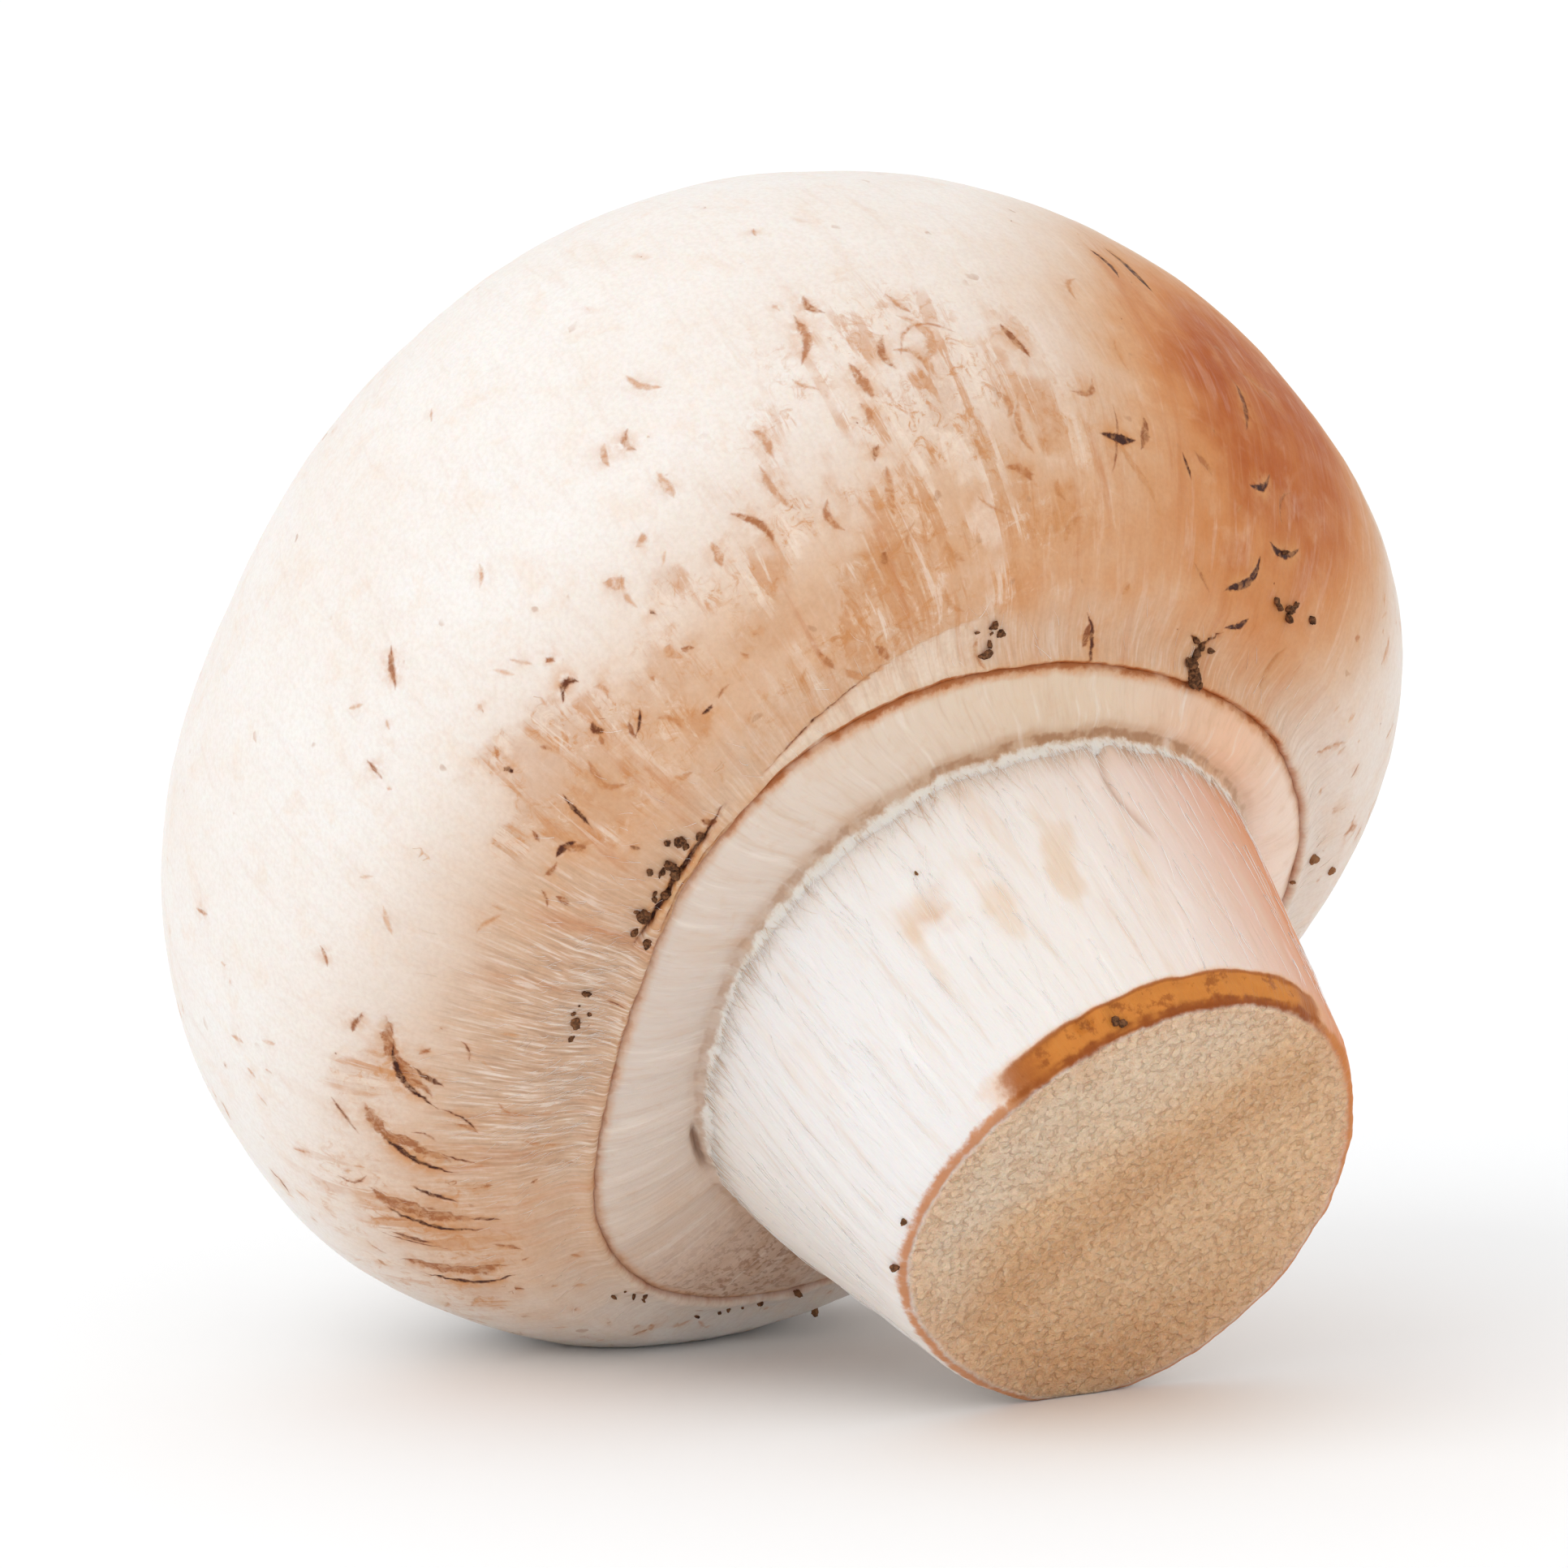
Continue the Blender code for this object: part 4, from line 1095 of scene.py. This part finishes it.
# ---------------------------------------------------------------------------
# Materials
# ---------------------------------------------------------------------------
class Mat:
    def __init__(self, name, scale=1.0, sss=0.25, radius=(1.2, 0.62, 0.36), specular=0.35):
        self.mat = bpy.data.materials.new(name)
        self.mat.use_nodes = True
        self.tree = self.mat.node_tree
        self.bsdf = self.tree.nodes["Principled BSDF"]
        b = self.bsdf.inputs
        b["Metallic"].default_value = 0.0
        b["Subsurface Weight"].default_value = sss
        b["Subsurface Radius"].default_value = radius
        b["Subsurface Scale"].default_value = 0.001
        b["Specular IOR Level"].default_value = specular
        b["IOR"].default_value = 1.42
        tc = self.tree.nodes.new("ShaderNodeTexCoord")
        self.mm = self.vmul(tc.outputs["Object"], 1000.0)

    def put(self, socket, value):
        if isinstance(value, bpy.types.NodeSocket):
            self.tree.links.new(value, socket)
        elif isinstance(value, (tuple, list, np.ndarray)):
            v = tuple(float(x) for x in value)
            socket.default_value = v if len(v) == len(socket.default_value) else v + (1.0,)
        else:
            socket.default_value = value

    def vmul(self, vec, k):
        n = self.tree.nodes.new("ShaderNodeVectorMath")
        n.operation = "SCALE"
        self.put(n.inputs[0], vec)
        self.put(n.inputs["Scale"], k)
        return n.outputs[0]

    def math(self, op, a, b=0.0, clamp=False):
        n = self.tree.nodes.new("ShaderNodeMath")
        n.operation = op
        n.use_clamp = clamp
        self.put(n.inputs[0], a)
        self.put(n.inputs[1], b)
        return n.outputs[0]

    def add(self, a, b):
        return self.math("ADD", a, b)

    def sub(self, a, b):
        return self.math("SUBTRACT", a, b)

    def mul(self, a, b, clamp=False):
        return self.math("MULTIPLY", a, b, clamp)

    def step(self, x, a, b, lo=0.0, hi=1.0):
        n = self.tree.nodes.new("ShaderNodeMapRange")
        n.interpolation_type = "SMOOTHSTEP"
        self.put(n.inputs["Value"], x)
        self.put(n.inputs["From Min"], a)
        self.put(n.inputs["From Max"], b)
        self.put(n.inputs["To Min"], lo)
        self.put(n.inputs["To Max"], hi)
        return n.outputs["Result"]

    def attr(self, name, vector=False):
        n = self.tree.nodes.new("ShaderNodeAttribute")
        n.attribute_name = name
        return n.outputs["Vector" if vector else "Fac"]

    def noise(self, vec, scale, detail=3.0, rough=0.55, warp=0.0):
        n = self.tree.nodes.new("ShaderNodeTexNoise")
        self.put(n.inputs["Vector"], vec)
        n.inputs["Scale"].default_value = scale
        n.inputs["Detail"].default_value = detail
        n.inputs["Roughness"].default_value = rough
        n.inputs["Distortion"].default_value = warp
        return n.outputs["Fac"]

    def cells(self, vec, scale, feature="F1", rand=1.0):
        n = self.tree.nodes.new("ShaderNodeTexVoronoi")
        n.feature = feature
        self.put(n.inputs["Vector"], vec)
        n.inputs["Scale"].default_value = scale
        n.inputs["Randomness"].default_value = rand
        return n

    def mix(self, fac, a, b, blend="MIX"):
        n = self.tree.nodes.new("ShaderNodeMix")
        n.data_type = "RGBA"
        n.blend_type = blend
        n.clamp_factor = True
        self.put(n.inputs[0], fac)
        self.put(n.inputs[6], a)
        self.put(n.inputs[7], b)
        return n.outputs[2]

    def bump(self, height, strength, distance, normal=None):
        n = self.tree.nodes.new("ShaderNodeBump")
        n.inputs["Strength"].default_value = strength
        n.inputs["Distance"].default_value = distance
        self.put(n.inputs["Height"], height)
        if normal is not None:
            self.put(n.inputs["Normal"], normal)
        return n.outputs["Normal"]

    def finish(self, colour, rough, normal=None):
        self.put(self.bsdf.inputs["Base Color"], colour)
        self.put(self.bsdf.inputs["Roughness"], rough)
        if normal is not None:
            self.put(self.bsdf.inputs["Normal"], normal)
        return self.mat


def cap_material():
    m = Mat("cap_skin_visual", sss=0.30)
    tint = m.attr("tint", True)
    fib = m.attr("fib", True)
    fine = m.noise(fib, 2.6, 4.0, 0.6, 0.4)            # silky streaks
    finer = m.noise(fib, 7.5, 2.0, 0.5, 0.2)
    blot = m.noise(m.mm, 0.55, 5.0, 0.6, 0.6)
    tiny = m.noise(m.mm, 5.5, 3.0, 0.6)
    col = m.mix(m.mul(m.step(blot, 0.50, 0.74), 0.22), tint, lin(232, 196, 162))
    col = m.mix(m.mul(m.mul(m.step(fine, 0.52, 0.76), m.step(m.attr("tan"), 0.0, 0.6, 0.10, 0.40)), 0.9), col, lin(204, 142, 92))
    col = m.mix(m.mul(m.step(fine, 0.46, 0.28), 0.12), col, lin(250, 242, 234))
    tone_here = m.attr("tan")
    speck = m.noise(m.mm, 1.5, 6.0, 0.72, 1.2)
    zone = m.mul(m.step(m.attr("mottle"), 0.05, 0.6), m.step(m.noise(m.mm, 0.45, 2.0), 0.38, 0.58))
    col = m.mix(m.mul(m.mul(m.step(speck, 0.50, 0.64), zone), 0.75), col, lin(204, 142, 88))
    col = m.mix(m.mul(m.mul(m.step(speck, 0.64, 0.72), zone), 0.55), col, lin(176, 108, 56))
    col = m.mix(m.mul(m.mul(m.step(speck, 0.47, 0.34), zone), 0.40), col, lin(240, 222, 204))
    skin = m.noise(m.vmul(fib, 1.0), 0.85, 6.0, 0.66, 1.3)
    col = m.mix(m.mul(m.mul(m.step(skin, 0.515, 0.585), zone), 0.62), col, lin(200, 136, 80))
    col = m.mix(m.mul(m.mul(m.step(skin, 0.455, 0.40), zone), 0.50), col, lin(240, 224, 208))
    felted = m.attr("felt")
    col = m.mix(m.mul(m.mul(m.step(finer, 0.50, 0.68), felted), 0.65), col, lin(240, 226, 214))
    col = m.mix(m.mul(m.mul(m.step(finer, 0.48, 0.34), felted), 0.45), col, lin(164, 128, 102))
    smear = m.noise(fib, 0.75, 5.0, 0.62, 1.0)
    col = m.mix(m.mul(m.mul(m.step(smear, 0.50, 0.70), m.step(tone_here, 0.05, 0.5)), 0.45), col, lin(190, 110, 48))
    # freckles
    warped = m.tree.nodes.new("ShaderNodeVectorMath")
    warped.operation = "ADD"
    m.put(warped.inputs[0], m.mm)
    wn = m.tree.nodes.new("ShaderNodeTexNoise")
    m.put(wn.inputs["Vector"], m.mm)
    wn.inputs["Scale"].default_value = 1.3
    m.put(warped.inputs[1], m.vmul(wn.outputs["Color"], 0.9))
    spots = m.cells(warped.outputs[0], 0.62)
    size = m.mul(m.noise(m.mm, 0.9, 1.0), 0.16)
    spot = m.mul(m.step(m.sub(spots.outputs["Distance"], size), 0.055, 0.0), m.step(m.noise(m.mm, 0.33, 1.0), 0.50, 0.62))
    col = m.mix(m.mul(spot, 0.45), col, lin(176, 124, 84))
    # torn scales and cracks: noise makes their sides ragged
    rag = m.sub(m.noise(m.mm, 3.4, 5.0, 0.68, 0.5), 0.5)
    halo = m.attr("halo")
    col = m.mix(m.mul(m.mul(halo, m.step(m.noise(m.mm, 2.0, 4.0, 0.6), 0.30, 0.60)), 1.0), col, lin(206, 144, 88))
    patchy = m.noise(m.mm, 2.6, 4.0, 0.62, 0.8)
    on = None
    for k in range(3):
        d = m.math("ABSOLUTE", m.attr("line_d%d" % k))
        w = m.attr("line_w%d" % k)
        dark = m.attr("line_k%d" % k)
        e = m.add(m.sub(w, d), m.mul(rag, m.add(m.mul(m.math("MAXIMUM", w, 0.0), 1.3), 0.06)))
        here = m.mul(m.mul(m.step(e, -0.05, 0.09), m.step(w, 0.0, 0.012)), m.step(patchy, 0.34, 0.58, 0.45, 1.0))
        col = m.mix(m.mul(here, m.step(dark, 0.05, 0.75, 0.55, 0.95)), col,
                    m.mix(m.mul(m.step(dark, 0.1, 0.8), m.step(patchy, 0.36, 0.62, 0.35, 1.0)), lin(208, 146, 90), lin(156, 74, 16)))
        col = m.mix(m.mul(m.mul(here, m.step(e, -0.01, 0.06)), m.step(dark, 0.45, 0.9, 0.0, 1.0)), col, lin(58, 18, 2))
        on = here if on is None else m.math("MAXIMUM", on, here)
    # the browned line where cap and veil part
    edge = m.attr("edge_mm")
    ring = m.attr("ring")
    jag = m.mul(m.sub(m.noise(m.mm, 1.6, 4.0, 0.65), 0.5), 0.5)
    er = m.add(edge, jag)
    ring = m.mul(ring, m.step(m.noise(m.mm, 0.7, 3.0, 0.6), 0.32, 0.56, 0.35, 1.0))
    col = m.mix(m.mul(m.step(er, 0.70, 0.10), m.mul(ring, 0.60)), col, lin(206, 142, 88))
    col = m.mix(m.mul(m.step(er, 0.36, 0.10), m.mul(ring, 0.95)), col, lin(170, 86, 20))
    col = m.mix(m.mul(m.step(er, 0.12, 0.0), m.mul(ring, 0.85)), col, lin(122, 52, 8))
    # grain
    col = m.mix(m.mul(m.step(tiny, 0.35, 0.70), 0.10), col, lin(190, 150, 118), "MULTIPLY")
    rough = m.step(m.noise(m.mm, 1.1, 3.0), 0.3, 0.7, 0.46, 0.60)
    h = m.add(m.mul(fine, 0.9), m.add(m.mul(finer, 0.35), m.mul(tiny, 0.25)))
    h = m.sub(h, m.mul(on, 0.7))
    nrm = m.bump(h, 0.55, 0.00006)
    return m.finish(col, rough, nrm)


def veil_material():
    m = Mat("veil_skin_visual", sss=0.30, specular=0.25)
    tint = m.attr("tint", True)
    fib = m.attr("fib", True)
    silk = m.noise(fib, 1.9, 4.0, 0.6, 0.3)
    fine = m.noise(fib, 6.0, 2.0, 0.5)
    tiny = m.noise(m.mm, 5.0, 3.0, 0.6)
    blot = m.noise(m.mm, 1.2, 4.0, 0.6, 0.5)
    col = m.mix(m.mul(m.step(silk, 0.50, 0.76), 0.28), tint, lin(204, 164, 130))
    col = m.mix(m.mul(m.step(silk, 0.46, 0.26), 0.50), col, lin(240, 228, 216))
    col = m.mix(m.mul(m.step(blot, 0.52, 0.76), 0.20), col, lin(206, 162, 124))
    col = m.mix(m.mul(m.step(fine, 0.5, 0.8), 0.16), col, lin(190, 148, 114))
    jag = m.mul(m.sub(m.noise(m.mm, 1.8, 4.0, 0.65), 0.5), 0.5)
    ring, neck = m.attr("ring"), m.attr("neck")
    eo = m.add(m.attr("out_mm"), jag)
    ring = m.mul(ring, m.step(m.noise(m.mm, 0.7, 3.0, 0.6), 0.32, 0.56, 0.35, 1.0))
    col = m.mix(m.mul(m.step(eo, 0.40, 0.05), m.mul(ring, 0.6)), col, lin(204, 132, 72))
    col = m.mix(m.mul(m.step(eo, 0.16, -0.02), m.mul(ring, 0.85)), col, lin(160, 84, 30))
    ei = m.add(m.attr("in_mm"), m.mul(jag, 0.8))
    band = m.mul(m.step(ei, -0.26, -0.12), m.step(ei, 0.22, 0.02))
    col = m.mix(m.mul(band, m.mul(neck, m.step(m.noise(m.mm, 1.1, 3.0), 0.40, 0.60, 0.15, 0.85))), col, lin(166, 118, 82))
    col = m.mix(m.mul(m.step(ei, -0.16, -0.30), 0.75), col, lin(242, 234, 226))
    # painted shade: dark brown down inside the fold
    col = m.mix(m.mul(m.attr("fold"), 0.8), col, lin(134, 92, 66))
    grain = m.attr("grain")
    gr = m.mul(grain, m.step(m.noise(m.mm, 3.4, 3.0, 0.6), 0.48, 0.62))
    col = m.mix(m.mul(gr, 0.55), col, lin(140, 92, 60))
    h = m.add(m.mul(silk, 1.0), m.add(m.mul(fine, 0.5), m.mul(tiny, 0.25)))
    nrm = m.bump(h, 0.7, 0.00008)
    return m.finish(col, m.step(blot, 0.3, 0.7, 0.55, 0.70), nrm)


def stem_material():
    m = Mat("stem_flesh_visual", sss=0.32, specular=0.30)
    tint = m.attr("tint", True)
    fib = m.attr("fib", True)
    face = m.attr("face")
    side = m.sub(1.0, face)
    silk = m.noise(fib, 2.2, 4.0, 0.6, 0.3)
    fine = m.noise(fib, 7.0, 2.0, 0.5)
    blot = m.noise(m.mm, 0.7, 4.0, 0.6, 0.5)
    col = m.mix(m.mul(m.mul(side, m.step(silk, 0.52, 0.76)), 0.30), tint, lin(216, 182, 150))
    col = m.mix(m.mul(m.mul(side, m.step(silk, 0.46, 0.26)), 0.22), col, lin(252, 249, 246))
    # pith: pale crumbs with darker pits between them
    crumb = m.noise(m.mm, 3.1, 4.0, 0.65, 0.6)
    pits = m.cells(m.mm, 3.4, "F1")
    pit = m.step(pits.outputs["Distance"], 0.55, 0.85)
    small = m.noise(m.mm, 8.0, 3.0, 0.6)
    col = m.mix(m.mul(m.mul(face, m.step(crumb, 0.50, 0.68)), 0.40), col, lin(242, 214, 184))
    col = m.mix(m.mul(m.mul(face, m.step(crumb, 0.47, 0.32)), 0.34), col, lin(200, 146, 98))
    col = m.mix(m.mul(m.mul(face, pit), 0.20), col, lin(190, 136, 90))
    col = m.mix(m.mul(m.mul(face, m.step(small, 0.56, 0.70)), 0.25), col, lin(248, 228, 204))
    # browned rim
    up = m.attr("up_mm")
    jag = m.mul(m.sub(m.noise(m.mm, 1.7, 4.0, 0.65), 0.5), 0.55)
    u = m.add(up, jag)
    bt = m.attr("bevel_turn")
    rim_r = m.attr("rim_r")
    outer_half = m.step(m.add(rim_r, m.mul(jag, 0.5)), -0.62, -0.38)
    thin = m.mul(m.step(u, -0.30, -0.06), m.step(m.add(rim_r, m.mul(jag, 0.5)), -0.50, -0.30))
    col = m.mix(m.mul(thin, 0.85), col, lin(200, 124, 56))
    bevel = m.add(m.attr("bevel"), m.mul(jag, 0.5))
    bev = m.mul(m.step(bevel, 0.22, 0.60), outer_half)
    col = m.mix(m.mul(m.mul(m.step(bevel, 0.02, 0.35), outer_half), 0.55), col, lin(224, 170, 118))
    col = m.mix(m.mul(bev, 0.90), col, lin(204, 126, 44))
    edge_line = m.mul(m.step(bevel, 0.22, 0.42), m.step(bevel, 0.72, 0.50))
    col = m.mix(m.mul(m.mul(edge_line, outer_half), 0.75), col, lin(160, 84, 20))
    col = m.mix(m.mul(m.mul(bev, m.step(m.noise(m.mm, 1.5, 4.0, 0.65), 0.52, 0.66)), 0.75), col, lin(150, 78, 20))
    darkrim = m.mul(m.mul(m.mul(m.step(u, -0.30, -0.05), outer_half), m.step(bt, 0.0, 0.6, 0.15, 0.95)), m.step(m.noise(m.mm, 1.0, 3.0), 0.34, 0.60, 0.3, 1.0))
    col = m.mix(darkrim, col, lin(146, 72, 14))
    h = m.add(m.mul(m.mul(side, silk), 0.9), m.mul(m.mul(side, fine), 0.35))
    h = m.add(h, m.mul(face, m.add(m.mul(crumb, 3.2), m.sub(m.mul(small, 0.7), m.mul(pit, 1.2)))))
    nrm = m.bump(h, 1.0, 0.00012)
    rough = m.add(m.step(blot, 0.3, 0.7, 0.50, 0.62), m.mul(bev, -0.10))
    return m.finish(col, rough, nrm)


def thread_material(name, light, dark_colour, share):
    m = Mat(name, sss=0.1, specular=0.25)
    shade = m.attr("shade")
    n = m.noise(m.mm, 2.0, 2.0)
    col = m.mix(m.step(m.add(shade, m.mul(m.sub(n, 0.5), 0.5)), share, share + 0.25), dark_colour, light)
    return m.finish(col, 0.6)


def soil_material():
    m = Mat("casing_soil", sss=0.0, specular=0.2)
    shade = m.attr("shade")
    n = m.noise(m.mm, 7.0, 4.0, 0.65)
    col = m.mix(m.step(n, 0.4, 0.65), lin(62, 38, 24), lin(128, 84, 54))
    col = m.mix(m.mul(shade, 0.6), col, lin(170, 122, 84))
    nrm = m.bump(m.noise(m.mm, 10.0, 3.0), 0.8, 0.00006)
    return m.finish(col, 0.85, nrm)


cap_obj.data.materials.append(cap_material())
veil_obj.data.materials.append(veil_material())
stem_obj.data.materials.append(stem_material())
neck_obj.data.materials.append(thread_material("veil_thread", lin(254, 250, 246), lin(226, 196, 168), 0.20))
silk_obj.data.materials.append(thread_material("stem_thread", lin(254, 252, 250), lin(240, 226, 214), 0.30))
felt_obj.data.materials.append(thread_material("cap_thread", lin(252, 244, 236), lin(236, 216, 198), 0.25))
soil = soil_material()
crumb_obj.data.materials.append(soil)
soil_obj.data.materials.append(soil)

for obj, node, slot in ((cap_obj, "cap", "cap_skin"), (veil_obj, "veil", "veil_skin"), (stem_obj, "stem", "stem_flesh")):
    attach(obj, "root")
    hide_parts(node)
for obj, slot in ((neck_obj, "veil_skin"), (silk_obj, "stem_flesh"), (felt_obj, "cap_skin"),
                  (crumb_obj, "cap_skin"), (soil_obj, "stem_flesh")):
    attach(obj, "root")

# ---------------------------------------------------------------------------
# Stage: a wide pale floor, soft light, the camera
# ---------------------------------------------------------------------------
bm = bmesh.new()
bmesh.ops.create_circle(bm, cap_ends=True, segments=96, radius=60.0)
floor_me = bpy.data.meshes.new("floor")
bm.to_mesh(floor_me)
bm.free()
floor = bpy.data.objects.new("floor", floor_me)
bpy.context.scene.collection.objects.link(floor)
fm = bpy.data.materials.new("floor_white")
fm.use_nodes = True
fb = fm.node_tree.nodes["Principled BSDF"]
fb.inputs["Base Color"].default_value = (0.965, 0.975, 0.985, 1.0)
fb.inputs["Roughness"].default_value = 0.9
fb.inputs["Specular IOR Level"].default_value = 0.1
floor_me.materials.append(fm)

world_bg = bpy.context.scene.world or bpy.data.worlds.new("studio")
bpy.context.scene.world = world_bg
world_bg.use_nodes = True
bg = world_bg.node_tree.nodes.get("Background") or world_bg.node_tree.nodes.new("ShaderNodeBackground")
bg.inputs["Color"].default_value = (1.0, 1.0, 1.0, 1.0)
bg.inputs["Strength"].default_value = 0.87

TARGET = Vector(tuple(CENTRE * 0.001))
BACK = Vector((-0.5733, -0.8036, 0.1602)).normalized()
RIGHT = Vector((0.8143, -0.5804, 0.0)).normalized()
UP = RIGHT.cross(-BACK).normalized() * 1.0


def soft(name, where, angle, strength, colour):
    """A far, very wide lamp: soft shadows and an evenly lit floor."""
    data = bpy.data.lights.new(name, "SUN")
    data.angle = math.radians(angle)
    data.energy = strength
    data.color = colour
    obj = bpy.data.objects.new(name, data)
    obj.location = TARGET + where
    obj.rotation_euler = where.to_track_quat("Z", "Y").to_euler()
    bpy.context.scene.collection.objects.link(obj)
    return obj


soft("key", BACK * 0.50 - RIGHT * 0.62 + Vector((0, 0, 0.55)), 55.0, 0.62, (1.0, 0.995, 0.985))
soft("fill", BACK * 0.60 + RIGHT * 0.60 + Vector((0, 0, 0.35)), 60.0, 0.12, (1.0, 0.96, 0.91))
soft("top", Vector((-0.10, 0.10, 0.90)), 90.0, 0.22, (1.0, 0.995, 0.985))

cam_data = bpy.data.cameras.new("camera")
cam_data.lens = 360.0
cam_data.sensor_width = 36.0
cam_data.clip_start = 0.01
cam_data.clip_end = 200.0
cam = bpy.data.objects.new("camera", cam_data)
up_dir = UP if UP.z > 0 else -UP
aim = TARGET + RIGHT * 0.00016 - up_dir * 0.001
cam.location = aim + BACK * 0.6
cam.rotation_euler = BACK.to_track_quat("Z", "Y").to_euler()
bpy.context.scene.collection.objects.link(cam)
bpy.context.scene.camera = cam
bpy.context.scene.view_settings.view_transform = "Standard"
